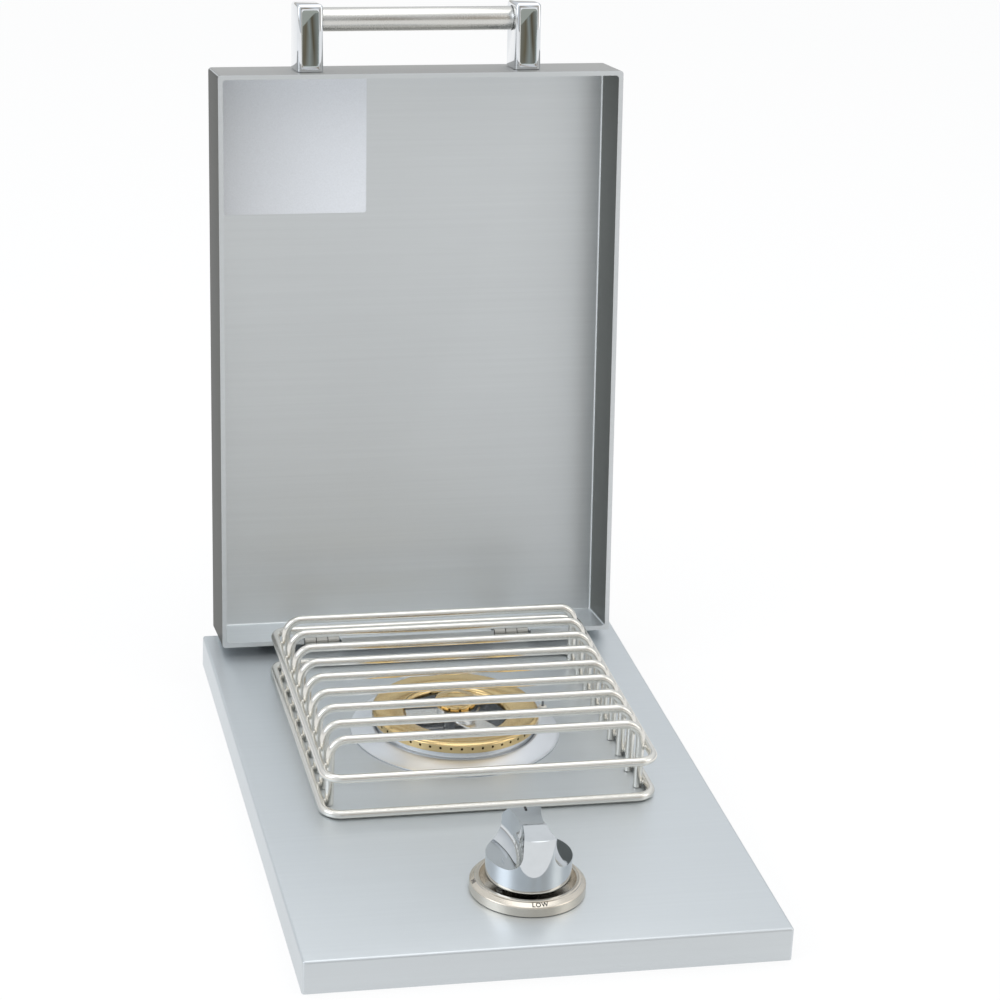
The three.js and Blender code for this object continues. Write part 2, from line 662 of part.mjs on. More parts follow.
function housingShell() {
  const { left, right, front, back, top } = housing;
  const bottom = housing.floor + HOUSING_SHEET + SEAT;
  const outer = block(left, right, front, back, bottom, top);
  const inner = block(left + HOUSING_SHEET, right - HOUSING_SHEET,
    front + HOUSING_SHEET, back - HOUSING_SHEET, bottom - OVERRUN, top - HOUSING_SHEET);
  const inset = HOUSING_SHEET + HOUSING_FLANGE;
  const mouth = block(left + inset, right - inset, front + inset, back - inset,
    top - HOUSING_SHEET - OVERRUN, top + OVERRUN);
  const cutters = [inner, mouth];
  for (let i = 0; i < VENT_COUNT; i += 1) {
    const y = front + VENT_EDGE + i * ventPitch;
    const z = housing.floor + VENT_RISE;
    cutters.push(block(left - OVERRUN, right + OVERRUN, y, y + VENT_LENGTH, z, z + VENT_HEIGHT));
  }
  const studHole = STUD_RADIUS + HOLE_GAP;
  const caseHole = CASE_SCREW_RADIUS + HOLE_GAP;
  studPlaces.forEach(([x, y]) => {
    cutters.push(rodZ(studHole, top - HOUSING_SHEET - OVERRUN, top + OVERRUN, SCREW_SIDES, x, y));
  });
  floorScrewYs.forEach((y) => cutters.push(sideHoles(caseHole, y, floorScrewZ)));
  supportScrewYs.forEach((y) => cutters.push(sideHoles(caseHole, y, supportScrewZ)));
  cutters.push(rodY(INLET_RADIUS + HOLE_GAP, back - HOUSING_SHEET - OVERRUN, back + OVERRUN,
    SMALL_SIDES, pipeX, gasLine));
  const nutTop = top - HOUSING_SHEET / 2;
  const nutFoot = top - HOUSING_SHEET - NUT_HEIGHT;
  const nuts = studPlaces.map(([x, y]) => cut(
    rodZ(NUT_RADIUS, nutFoot, nutTop, HEX_SIDES, x, y),
    rodZ(studHole, nutFoot - OVERRUN, nutTop + OVERRUN, SCREW_SIDES, x, y),
  ));
  return join(cut(outer, ...cutters), ...nuts);
}
piece(deck, 'housing_shell', galvanised, housingShell());

function housingFloor() {
  const { left, right, front, back, floor } = housing;
  const inset = HOUSING_SHEET + SEAT;
  const plate = block(left, right, front, back, floor, floor + HOUSING_SHEET);
  const rim = block(left + inset, right - inset, front + inset, back - inset,
    floor + HOUSING_SHEET / 2, floor + HOUSING_SHEET + FLOOR_LIP);
  const deep = inset + HOUSING_SHEET;
  const inner = block(left + deep, right - deep, front + deep, back - deep,
    floor + HOUSING_SHEET, floor + HOUSING_SHEET + FLOOR_LIP + OVERRUN);
  return join(cut(join(plate, rim), inner), ...wallScrews(floorScrewYs, floorScrewZ));
}
piece(deck, 'housing_floor', galvanised, housingFloor());

// Burner bowl
function burnerBowl() {
  const lipTop = SEAT + BOWL_SHEET;
  const top = roundedLine([
    [bowlLipRadius, lipTop],
    [bowlFootRadius, lipTop],
    [bowlThroatRadius, BOWL_CONE_HEIGHT, BOWL_ROLL_RADIUS],
    [bowlThroatRadius, -BOWL_DEPTH, BOWL_FLOOR_BEND],
    [SOCKET_RADIUS + BOWL_HOLE_CLEARANCE, -BOWL_DEPTH],
  ]);
  const outline = sheetOutline(top, -BOWL_SHEET);
  const bowl = turned(outline);
  const insulatorHole = INSULATOR_RADIUS + BOWL_HOLE_CLEARANCE / 2;
  const cutters = [rodZ(insulatorHole, 0, BOWL_CONE_HEIGHT, SMALL_SIDES, electrodeX, electrodeY)];
  armTurns.forEach((turn) => {
    const x = burnerScrewCircle * Math.cos(turn);
    const y = burnerScrewCircle * Math.sin(turn);
    cutters.push(rodZ(CASE_SCREW_RADIUS + HOLE_GAP, bowlUnder - OVERRUN, bodyBottom, SCREW_SIDES, x, y));
  });
  return cut(bowl, ...cutters);
}
piece(burner, 'burner_bowl', polished, burnerBowl());

// Burner body
function burnerBody() {
  const trough = turned([
    [bodyInnerRadius, bodyBottom],
    [BODY_RADIUS, bodyBottom],
    [BODY_RADIUS, BODY_RIM_HEIGHT],
    [BODY_RADIUS - BODY_WALL, BODY_RIM_HEIGHT],
    [BODY_RADIUS - BODY_WALL, bodyBottom + BODY_FLOOR],
    [bodyInnerRadius + BODY_WALL, bodyBottom + BODY_FLOOR],
    [bodyInnerRadius + BODY_WALL, BODY_RIM_HEIGHT],
    [bodyInnerRadius, BODY_RIM_HEIGHT],
  ]);
  const hub = rodZ(HUB_RADIUS, gasLine, HUB_TOP, SMALL_SIDES);
  const drop = rodZ(SOCKET_RADIUS, gasLine - SOCKET_RADIUS, bodyBottom, SMALL_SIDES);
  const socket = rodY(SOCKET_RADIUS, -SOCKET_REACH, 0, SMALL_SIDES, 0, gasLine);
  const shapes = [trough, hub, drop, socket];
  const cutters = [
    rodZ(HUB_BORE_RADIUS, gasLine, HUB_TOP + OVERRUN, SMALL_SIDES),
    rodY(HUB_BORE_RADIUS, -SOCKET_REACH, 0, SMALL_SIDES, 0, gasLine),
    rodY(TUBE_RADIUS + SEAT, -SOCKET_REACH - OVERRUN, -SOCKET_REACH + SOCKET_DEPTH, SMALL_SIDES, 0, gasLine),
  ];
  const passageZ = (bodyBottom + ARM_TOP) / 2;
  armTurns.forEach((turn) => {
    const armEnd = bodyInnerRadius + BODY_WALL / 2;
    const arm = block(0, armEnd, -ARM_WIDTH / 2, ARM_WIDTH / 2, bodyBottom, ARM_TOP);
    shapes.push(arm.rotateZ(turn));
    const passageEnd = bodyInnerRadius + BODY_WALL + OVERRUN;
    cutters.push(spoke(ARM_PASSAGE_RADIUS, 0, passageEnd, SCREW_SIDES, turn, passageZ));
    const x = burnerScrewCircle * Math.cos(turn);
    const y = burnerScrewCircle * Math.sin(turn);
    const holeTop = bodyBottom + BURNER_SCREW_REACH + HOLE_GAP;
    cutters.push(rodZ(CASE_SCREW_RADIUS + HOLE_GAP, bodyBottom - OVERRUN, holeTop, SCREW_SIDES, x, y));
  });
  return cut(join(...shapes), ...cutters);
}
piece(burner, 'burner_body', castAluminium, burnerBody());

// Burner ring: an inverted channel with ports through its outer and inner walls
function burnerRing() {
  const spigotOut = BODY_RADIUS - BODY_WALL - SEAT;
  const spigotIn = spigotOut - RING_WALL;
  const innerWallOut = bodyInnerRadius + BODY_WALL;
  const ring = turned([
    [spigotIn, ringSeat - RING_SPIGOT],
    [spigotOut, ringSeat - RING_SPIGOT],
    [spigotOut, ringSeat],
    [ringRadius, ringSeat],
    [ringRadius, RING_SKIRT_TOP],
    [BODY_RADIUS, RING_CREST_HEIGHT],
    [ringInnerRadius + RING_WALL, RING_INNER_TOP],
    [ringInnerRadius, RING_INNER_TOP - RING_WALL],
    [ringInnerRadius, ringSeat],
    [innerWallOut, ringSeat],
    [innerWallOut, RING_INNER_TOP - RING_ROOF],
    [spigotIn, RING_CREST_HEIGHT - RING_ROOF - RING_WALL],
  ]);
  const ports = [];
  for (let i = 0; i < RING_PORT_COUNT; i += 1) {
    const turn = 2 * Math.PI * (i + 1 / 2) / RING_PORT_COUNT;
    const [from, to] = [spigotIn - OVERRUN, ringRadius + OVERRUN];
    ports.push(spoke(RING_PORT_RADIUS, from, to, PORT_SIDES, turn, RING_PORT_HEIGHT));
  }
  const innerPortZ = (ringSeat + RING_INNER_TOP - RING_ROOF) / 2;
  for (let i = 0; i < INNER_PORT_COUNT; i += 1) {
    const turn = 2 * Math.PI * i / INNER_PORT_COUNT;
    const from = ringInnerRadius - OVERRUN;
    ports.push(spoke(RING_PORT_RADIUS, from, innerWallOut + OVERRUN, PORT_SIDES, turn, innerPortZ));
  }
  return cut(ring, ...ports);
}
piece(burner, 'burner_ring', brass, burnerRing());

// Burner cap on the hub
function burnerCap() {
  const spigot = HUB_BORE_RADIUS - SEAT;
  const hollow = spigot - CAP_WALL;
  const skirtTop = capSeat + CAP_SKIRT;
  const cap = turned([
    [0, capSeat + CAP_SKIRT - CAP_WALL],
    [hollow, capSeat + CAP_SKIRT - CAP_WALL],
    [hollow, capSeat - CAP_SPIGOT],
    [spigot, capSeat - CAP_SPIGOT],
    [spigot, capSeat],
    [CAP_RADIUS, capSeat],
    [CAP_RADIUS, skirtTop],
    [CAP_RADIUS - CAP_WALL, (skirtTop + CAP_TOP) / 2],
    [CAP_RADIUS / 2, CAP_TOP],
    [0, CAP_TOP],
  ], SMALL_SIDES);
  const ports = [];
  for (let i = 0; i < CAP_PORT_COUNT; i += 1) {
    const turn = 2 * Math.PI * i / CAP_PORT_COUNT;
    const portZ = capSeat + CAP_PORT_RISE;
    ports.push(spoke(CAP_PORT_RADIUS, hollow / 2, CAP_RADIUS + OVERRUN, PORT_SIDES, turn, portZ));
  }
  return cut(cap, ...ports);
}
piece(burner, 'burner_cap', brass, burnerCap());

// Support plate across the housing, under the bowl, with its screws through the housing's walls
function burnerSupport() {
  const inset = HOUSING_SHEET + SEAT;
  const [left, right] = [housing.left + inset, housing.right - inset];
  const half = burnerScrewCircle * Math.sin(Math.PI / 3) + SUPPORT_MARGIN;
  const channel = block(left, right, -half, half, supportUnder, supportTop + SUPPORT_LIP);
  const inner = block(left + SUPPORT_SHEET, right - SUPPORT_SHEET, -half - OVERRUN, half + OVERRUN,
    supportTop, supportTop + SUPPORT_LIP + OVERRUN);
  const down = supportUnder - OVERRUN;
  const up = supportTop + OVERRUN;
  const cutters = [
    inner,
    rodZ(SOCKET_RADIUS + BOWL_HOLE_CLEARANCE, down, up, SMALL_SIDES),
    rodZ(INSULATOR_RADIUS + SEAT, down, up, SMALL_SIDES, electrodeX, electrodeY),
  ];
  armTurns.forEach((turn) => {
    const x = burnerScrewCircle * Math.cos(turn);
    const y = burnerScrewCircle * Math.sin(turn);
    cutters.push(rodZ(CASE_SCREW_RADIUS + HOLE_GAP, down, up, SCREW_SIDES, x, y));
  });
  const screws = wallScrews([-SUPPORT_SCREW_OFFSET, SUPPORT_SCREW_OFFSET], supportScrewZ);
  return join(cut(channel, ...cutters), ...screws);
}
piece(burner, 'burner_support', galvanised, burnerSupport());

const burnerScrewHead = supportUnder - SEAT;
const burnerScrewLength = bodyBottom + BURNER_SCREW_REACH - burnerScrewHead;
armTurns.forEach((turn, i) => {
  const screw = screwBlank(CASE_SCREW_RADIUS, burnerScrewLength, CASE_SCREW_HEAD_RADIUS, CASE_SCREW_HEAD);
  screw.rotateX(Math.PI);
  const [x, y] = [burnerScrewCircle * Math.cos(turn), burnerScrewCircle * Math.sin(turn)];
  screw.translate(x, y, burnerScrewHead);
  piece(burner, `burner_screw_${i + 1}`, galvanised, screw);
});

// Electrode: ceramic insulator with a collar on the support plate, its pin and clip, lead and igniter
const collarFoot = supportTop + SEAT;
const electrode = groupAt(burner, electrodeX, electrodeY, 0);
electrode.rotation.z = electrodeTurn;
const pinBore = PIN_WIRE_RADIUS + SEAT;
const insulator = cut(
  join(
    rodZ(INSULATOR_RADIUS, -INSULATOR_TAIL, INSULATOR_TOP, SMALL_SIDES),
    rodZ(INSULATOR_COLLAR_RADIUS, collarFoot, collarFoot + INSULATOR_COLLAR, SMALL_SIDES),
  ),
  rodZ(pinBore, -INSULATOR_TAIL - OVERRUN, INSULATOR_TOP + OVERRUN, SCREW_SIDES),
);
piece(electrode, 'electrode_insulator', ceramic, insulator);
const pinCorners = [
  at(0, 0, -INSULATOR_TAIL + SEAT),
  at(0, 0, PIN_TIP_HEIGHT),
  at(-PIN_TIP_LEAN, 0, PIN_TIP_HEIGHT),
];
piece(electrode, 'electrode_pin', springSteel, bentTube(pinCorners, PIN_BEND, PIN_WIRE_RADIUS, WIRE_SIDES));
const clipTop = supportUnder - SEAT;
const clip = cut(
  rodZ(CLIP_RADIUS, clipTop - CLIP_HEIGHT, clipTop, SMALL_SIDES),
  rodZ(INSULATOR_RADIUS + SEAT, clipTop - CLIP_HEIGHT - OVERRUN, clipTop + OVERRUN, SMALL_SIDES),
);
piece(electrode, 'electrode_clip', springSteel, clip);

const igniterRight = -VALVE_RADIUS - SEAT;
const igniterTop = valveTop - IGNITER_DROP;
piece(valve, 'piezo_igniter', plastic, softBlock(igniterRight - IGNITER_WIDTH, igniterRight,
  -IGNITER_DEPTH / 2, IGNITER_DEPTH / 2, igniterTop - IGNITER_HEIGHT, igniterTop, LEAD_RADIUS));
const leadX = igniterRight - IGNITER_WIDTH / 2;
const leadY = IGNITER_DEPTH / 2 + SEAT;
const leadZ = igniterTop - IGNITER_HEIGHT / 2;
const electrodeRise = burnerY - KNOB_FROM_FRONT + electrodeY;
const leadCorners = [
  at(leadX, leadY, leadZ),
  at(leadX, leadY + LEAD_RUN, leadZ),
  at(leadX, leadY + LEAD_RUN, -LEAD_DROP),
  at(electrodeX, electrodeRise, -LEAD_DROP),
  at(electrodeX, electrodeRise, -INSULATOR_TAIL - SEAT),
];
piece(valve, 'ignition_lead', silicone, bentTube(leadCorners, LEAD_BEND, LEAD_RADIUS, WIRE_SIDES));

// Valve body, cap and screws
const screwX = VALVE_SCREW_SPACING / 2;

function gasValve() {
  const barrel = rodZ(VALVE_RADIUS, -VALVE_BOTTOM, valveTop, SMALL_SIDES);
  const ears = block(-VALVE_EAR_LENGTH / 2, VALVE_EAR_LENGTH / 2, -VALVE_EAR_WIDTH / 2, VALVE_EAR_WIDTH / 2,
    valveTop - VALVE_EAR, valveTop);
  const inletBoss = rodX(GAS_BOSS_RADIUS, 0, INLET_BOSS_REACH, SMALL_SIDES, 0, gasLine);
  const outletBoss = rodY(GAS_BOSS_RADIUS, 0, OUTLET_BOSS_REACH, SMALL_SIDES, 0, gasLine);
  const plugBottom = plugTop - PLUG_HEIGHT;
  const cutters = [
    rodZ(CHAMBER_RADIUS, plugTop, valveTop + OVERRUN, SMALL_SIDES),
    rodZ(PLUG_BOTTOM_RADIUS + SEAT, plugBottom - SEAT, plugTop + SEAT,
      SMALL_SIDES, 0, 0, PLUG_TOP_RADIUS + SEAT),
    rodX(GAS_BORE_RADIUS, 0, INLET_BOSS_REACH + OVERRUN, SCREW_SIDES, 0, gasLine),
    rodY(GAS_BORE_RADIUS, 0, OUTLET_BOSS_REACH + OVERRUN, SCREW_SIDES, 0, gasLine),
  ];
  for (const side of [-1, 1]) {
    cutters.push(rodZ(VALVE_SCREW_RADIUS + HOLE_GAP, valveTop - VALVE_EAR - OVERRUN, valveTop + OVERRUN,
      SCREW_SIDES, side * screwX));
  }
  return cut(join(barrel, ears, inletBoss, outletBoss), ...cutters);
}
piece(valve, 'gas_valve', brass, gasValve());

function valveCap() {
  const bottom = valveCapTop - VALVE_CAP_SHEET;
  const plate = block(-VALVE_EAR_LENGTH / 2, VALVE_EAR_LENGTH / 2, -VALVE_EAR_WIDTH / 2, VALVE_EAR_WIDTH / 2,
    bottom, valveCapTop);
  const disc = rodZ(VALVE_RADIUS, bottom, valveCapTop, SMALL_SIDES);
  const [down, up] = [bottom - OVERRUN, valveCapTop + OVERRUN];
  const cutters = [rodZ(STEM_RADIUS + HOLE_GAP, down, up, SMALL_SIDES)];
  for (const side of [-1, 1]) {
    cutters.push(rodZ(VALVE_SCREW_RADIUS + HOLE_GAP, down, up, SCREW_SIDES, side * screwX));
  }
  return cut(join(plate, disc), ...cutters);
}
piece(valve, 'valve_cap', brass, valveCap());

const screwHead = SEAT + BEZEL_FLOOR + SEAT;
[['left', -screwX], ['right', screwX]].forEach(([name, x]) => {
  const screw = screwBlank(VALVE_SCREW_RADIUS, VALVE_SCREW_LENGTH, VALVE_SCREW_HEAD_RADIUS, VALVE_SCREW_HEAD);
  piece(valve, `valve_screw_${name}`, springSteel, screw.translate(x, 0, screwHead));
});

// Valve plug: turns in the cone, driven by the stem's tang in its slot
function valvePlug() {
  const foot = plugTop - PLUG_HEIGHT;
  const cone = rodZ(PLUG_BOTTOM_RADIUS, foot, plugTop - SEAT, SMALL_SIDES, 0, 0, PLUG_TOP_RADIUS);
  const slotReach = PLUG_TOP_RADIUS + OVERRUN;
  const slot = block(-PLUG_SLOT_WIDTH / 2, PLUG_SLOT_WIDTH / 2, -slotReach, slotReach,
    plugTop - PLUG_SLOT_DEPTH, plugTop + OVERRUN);
  const port = rodX(PLUG_PORT_RADIUS, 0, PLUG_TOP_RADIUS + OVERRUN, SCREW_SIDES, 0, gasLine);
  return cut(cone, slot, port);
}
piece(valve, 'valve_plug', brass, valvePlug());

// Stem with its flat, its collar and its tang
const collarTop = valveCapTop - VALVE_CAP_SHEET - SEAT;
const stemFoot = plugTop + STEM_PLUG_GAP;

function valveStem() {
  const rod = rodZ(STEM_RADIUS, stemFoot, STEM_TOP, SMALL_SIDES);
  const collar = rodZ(STEM_COLLAR_RADIUS, collarTop - STEM_COLLAR, collarTop, SMALL_SIDES);
  const tang = block(-STEM_TANG_WIDTH / 2, STEM_TANG_WIDTH / 2, -STEM_TANG_BREADTH / 2, STEM_TANG_BREADTH / 2,
    plugTop - STEM_TANG_LENGTH, stemFoot + STEM_COLLAR);
  const flatReach = STEM_RADIUS + OVERRUN;
  const flat = block(-flatReach, flatReach, STEM_RADIUS - STEM_FLAT_DEPTH, flatReach,
    STEM_TOP - STEM_FLAT_HEIGHT, STEM_TOP + OVERRUN);
  return cut(join(rod, collar, tang), flat);
}
piece(valve, 'valve_stem', springSteel, valveStem());

const washerTop = collarTop - STEM_COLLAR - SEAT;
const washer = cut(
  rodZ(WASHER_RADIUS, washerTop - WASHER_HEIGHT, washerTop, SMALL_SIDES),
  rodZ(STEM_RADIUS + HOLE_GAP, washerTop - WASHER_HEIGHT - OVERRUN, washerTop + OVERRUN, SMALL_SIDES),
);
piece(valve, 'thrust_washer', springSteel, washer);

class Helix extends THREE.Curve {
  constructor(radius, low, high, turns) {
    super();
    Object.assign(this, { radius, low, high, turns });
  }

  getPoint(share) {
    const angle = 2 * Math.PI * this.turns * share;
    const z = lerp(this.low, this.high, share);
    return at(this.radius * Math.cos(angle), this.radius * Math.sin(angle), z);
  }
}
const springTop = washerTop - WASHER_HEIGHT - SEAT - SPRING_WIRE_RADIUS;
const springFoot = plugTop + SEAT + SPRING_WIRE_RADIUS;
const spring = new Helix(SPRING_RADIUS, springFoot, springTop, SPRING_TURN_COUNT);
const springSteps = SPRING_TURN_COUNT * SPRING_STEPS_PER_TURN;
piece(valve, 'return_spring', springSteel, tubeAlong(spring, SPRING_WIRE_RADIUS, WIRE_SIDES, springSteps));

// Gas jet, air shutter and mixing tube
const gasAxis = groupAt(valve, 0, 0, gasLine);

function gasJet() {
  const hexFront = OUTLET_BOSS_REACH + SEAT;
  const hexBack = hexFront + JET_HEX_LENGTH;
  const body = join(
    rodY(JET_STUB_RADIUS, OUTLET_BOSS_REACH - JET_STUB_LENGTH, hexFront + JET_HEX_LENGTH / 2, SCREW_SIDES),
    rodY(JET_HEX_RADIUS, hexFront, hexBack, HEX_SIDES),
    rodY(JET_NOSE_RADIUS, hexFront + JET_HEX_LENGTH / 2, jetTip, SCREW_SIDES),
  );
  return cut(body, rodY(JET_BORE_RADIUS, 0, jetTip + OVERRUN, PORT_SIDES));
}
piece(gasAxis, 'gas_jet', brass, gasJet());

function airShutter() {
  const inner = TUBE_MOUTH_RADIUS + SEAT;
  const outer = inner + SHUTTER_SHEET;
  const back = shutterFront + SHUTTER_LENGTH;
  const hole = JET_NOSE_RADIUS + SEAT;
  const cup = turnedAlongY([
    [hole, shutterFront],
    [outer, shutterFront],
    [outer, back],
    [inner, back],
    [inner, shutterFront + SHUTTER_SHEET],
    [hole, shutterFront + SHUTTER_SHEET],
  ], SMALL_SIDES);
  const windowFront = shutterFront + SHUTTER_WINDOW_START;
  const half = SHUTTER_WINDOW_WIDTH / 2;
  const windowBack = windowFront + SHUTTER_WINDOW_LENGTH;
  const window = block(-outer - OVERRUN, outer + OVERRUN, windowFront, windowBack, -half, half);
  const screwY = (windowBack + back) / 2;
  const screwHole = rodZ(SHUTTER_SCREW_RADIUS + HOLE_GAP, -outer - OVERRUN, 0, SCREW_SIDES, 0, screwY);
  return cut(cup, window, screwHole);
}
piece(gasAxis, 'air_shutter', galvanised, airShutter());

function shutterScrew() {
  const inner = TUBE_MOUTH_RADIUS + SEAT;
  const back = shutterFront + SHUTTER_LENGTH;
  const screwY = (shutterFront + SHUTTER_WINDOW_START + SHUTTER_WINDOW_LENGTH + back) / 2;
  const head = -inner - SHUTTER_SHEET - SEAT;
  return join(
    rodZ(SHUTTER_SCREW_RADIUS, head - SHUTTER_SCREW_HEAD / 2, -inner, SCREW_SIDES, 0, screwY),
    rodZ(SHUTTER_SCREW_HEAD_RADIUS, head - SHUTTER_SCREW_HEAD, head, SCREW_SIDES, 0, screwY),
  );
}
piece(gasAxis, 'air_shutter_screw', springSteel, shutterScrew());

function mixingTube() {
  const taperFront = tubeFront + TUBE_MOUTH_LENGTH;
  const taperBack = taperFront + TUBE_TAPER_LENGTH;
  const tube = turnedAlongY([
    [TUBE_MOUTH_RADIUS, tubeFront],
    [TUBE_MOUTH_RADIUS, taperFront],
    [TUBE_RADIUS, taperBack],
    [TUBE_RADIUS, tubeBack],
    [TUBE_RADIUS - TUBE_WALL, tubeBack],
    [TUBE_RADIUS - TUBE_WALL, taperBack],
    [TUBE_MOUTH_RADIUS - TUBE_WALL, taperFront],
    [TUBE_MOUTH_RADIUS - TUBE_WALL, tubeFront],
  ], SMALL_SIDES);
  const windowFront = shutterFront + SHUTTER_WINDOW_START;
  const half = SHUTTER_WINDOW_WIDTH / 2;
  const reach = TUBE_MOUTH_RADIUS + OVERRUN;
  return cut(tube, block(-reach, reach, windowFront, windowFront + SHUTTER_WINDOW_LENGTH, -half, half));
}
piece(gasAxis, 'mixing_tube', galvanised, mixingTube());

// Gas pipe from the inlet fitting in the rear wall to the valve
const inletGroup = groupAt(deck, pipeX, 0, gasLine);

function gasPipe() {
  const start = at(INLET_BOSS_REACH + SEAT, KNOB_FROM_FRONT, gasLine);
  const corner = at(pipeX, KNOB_FROM_FRONT, gasLine);
  const end = at(pipeX, inletInner - SEAT, gasLine);
  const outer = bentTube([start, corner, end], PIPE_BEND, PIPE_RADIUS, ROD_SIDES);
  const before = start.clone().setX(start.x - OVERRUN);
  const after = end.clone().setY(end.y + OVERRUN);
  return cut(outer, bentTube([before, corner, after], PIPE_BEND, PIPE_RADIUS - PIPE_WALL, ROD_SIDES));
}
piece(deck, 'gas_pipe', polished, gasPipe());

function pipeNut() {
  return cut(
    rodY(PIPE_NUT_RADIUS, 0, PIPE_NUT_LENGTH, HEX_SIDES),
    rodY(PIPE_RADIUS + SEAT, -OVERRUN, PIPE_NUT_LENGTH + OVERRUN, SMALL_SIDES),
  );
}
const nutAtValve = pipeNut().rotateZ(-QUARTER).translate(INLET_BOSS_REACH + SEAT, KNOB_FROM_FRONT, gasLine);
piece(deck, 'pipe_nut_valve', brass, nutAtValve);
const nutAtInlet = pipeNut().translate(pipeX, inletInner - SEAT - PIPE_NUT_LENGTH, gasLine);
piece(deck, 'pipe_nut_inlet', brass, nutAtInlet);

function inletFitting() {
  const hexFront = housing.back + SEAT;
  const hexBack = hexFront + INLET_HEX_LENGTH;
  const end = hexBack + INLET_THREAD_LENGTH;
  const body = join(
    rodY(INLET_RADIUS, inletInner, hexFront + INLET_HEX_LENGTH / 2, SMALL_SIDES),
    rodY(INLET_HEX_RADIUS, hexFront, hexBack, HEX_SIDES),
    rodY(INLET_THREAD_RADIUS, hexFront + INLET_HEX_LENGTH / 2, end, SMALL_SIDES),
  );
  return cut(body,
    rodY(INLET_BORE_RADIUS, end - INLET_BORE_DEPTH, end + OVERRUN, SMALL_SIDES),
    rodY(PIPE_RADIUS - PIPE_WALL, inletInner - OVERRUN, end, SMALL_SIDES));
}
piece(inletGroup, 'inlet_fitting', brass, inletFitting());

const lockNutBack = housing.back - HOUSING_SHEET - SEAT;
const lockNut = cut(
  rodY(INLET_HEX_RADIUS, lockNutBack - INLET_NUT_LENGTH, lockNutBack, HEX_SIDES),
  rodY(INLET_RADIUS + HOLE_GAP, lockNutBack - INLET_NUT_LENGTH - OVERRUN, lockNutBack + OVERRUN, SMALL_SIDES),
);
piece(inletGroup, 'inlet_locknut', brass, lockNut);

// Bezel
function bezel() {
  const shoulder = BEZEL_SHOULDER_SHARES.map(([inward, up]) => [
    lerp(BEZEL_RADIUS, BEZEL_INNER_RADIUS, inward),
    lerp(BEZEL_WALL_HEIGHT, BEZEL_TOP, up),
  ]);
  const floorTop = SEAT + BEZEL_FLOOR;
  const ring = turned([
    [BEZEL_FLOOR_HOLE, SEAT],
    [BEZEL_RADIUS, SEAT],
    ...shoulder,
    [BEZEL_INNER_RADIUS, floorTop],
    [BEZEL_FLOOR_HOLE, floorTop],
  ]);
  const hole = VALVE_SCREW_RADIUS + HOLE_GAP;
  const holes = [-screwX, screwX].map((x) => rodZ(hole, -OVERRUN, floorTop + OVERRUN, SCREW_SIDES, x));
  return cut(ring, ...holes);
}
piece(valve, 'bezel', nickel, bezel());

// Knob body: a cup below, a waisted grip above
function knobBody() {
  const round = turned([
    [0, KNOB_BASE],
    [KNOB_RADIUS, KNOB_BASE],
    [KNOB_RADIUS, GRIP_FRONT_TOP + OVERRUN],
    [0, GRIP_FRONT_TOP + OVERRUN],
  ]);
  const waistDip = (GRIP_END_WIDTH - GRIP_WAIST_WIDTH) / 2;
  const sweep = (KNOB_RADIUS * KNOB_RADIUS + waistDip * waistDip) / (waistDip + waistDip);
  const slope = GRIP_SPREAD / (GRIP_FRONT_TOP - KNOB_SHOULDER);
  const cutterTop = GRIP_FRONT_TOP + OVERRUN + OVERRUN;
  const topSweep = sweep + slope * (cutterTop - GRIP_FRONT_TOP);
  const sides = [-1, 1].map((side) => rodZ(sweep - GRIP_SPREAD, KNOB_SHOULDER, cutterTop, GRIP_SIDES,
    side * (GRIP_WAIST_WIDTH / 2 + sweep), 0, topSweep));
  const topLine = GRIP_TOP_SHARES.map(([back, up]) => [
    lerp(-KNOB_RADIUS, KNOB_RADIUS, back),
    lerp(GRIP_BACK_TOP, GRIP_FRONT_TOP, up),
  ]);
  const first = topLine[0];
  const last = topLine[topLine.length - 1];
  const sky = prismX([
    [first[0] - OVERRUN, first[1]],
    ...topLine,
    [last[0] + OVERRUN, last[1]],
    [last[0] + OVERRUN, cutterTop],
    [first[0] - OVERRUN, cutterTop],
  ], -KNOB_RADIUS, KNOB_RADIUS);
  const cavity = rodZ(KNOB_RADIUS - KNOB_WALL, KNOB_BASE - OVERRUN, KNOB_CAVITY_TOP, TURN_SIDES);
  return cut(round, ...sides, sky, cavity);
}
piece(valve, 'knob_body', chrome, knobBody());

// Knob core: web and hub with the D bore for the stem
function knobCore() {
  const top = KNOB_CAVITY_TOP - SEAT;
  const web = rodZ(KNOB_RADIUS - KNOB_WALL - SEAT, top - CORE_WEB, top, TURN_SIDES);
  const hub = rodZ(CORE_HUB_RADIUS, top - CORE_WEB - CORE_HUB_LENGTH, top - CORE_WEB / 2, SMALL_SIDES);
  const hubFoot = top - CORE_WEB - CORE_HUB_LENGTH;
  const bore = rodZ(STEM_RADIUS + SEAT, hubFoot - OVERRUN, STEM_TOP + SEAT, SMALL_SIDES);
  const flat = block(-STEM_RADIUS - OVERRUN, STEM_RADIUS + OVERRUN, STEM_RADIUS - STEM_FLAT_DEPTH + SEAT,
    STEM_RADIUS + SEAT + OVERRUN, STEM_TOP - STEM_FLAT_HEIGHT - OVERRUN, STEM_TOP + SEAT + OVERRUN);
  return cut(join(web, hub), cut(bore, flat));
}
piece(valve, 'knob_core', plastic, knobCore());

// Grate: two rings and a row of U-bars
const grate = groupAt(deck, 0, GRATE_FRONT + grateDepth / 2, 0);

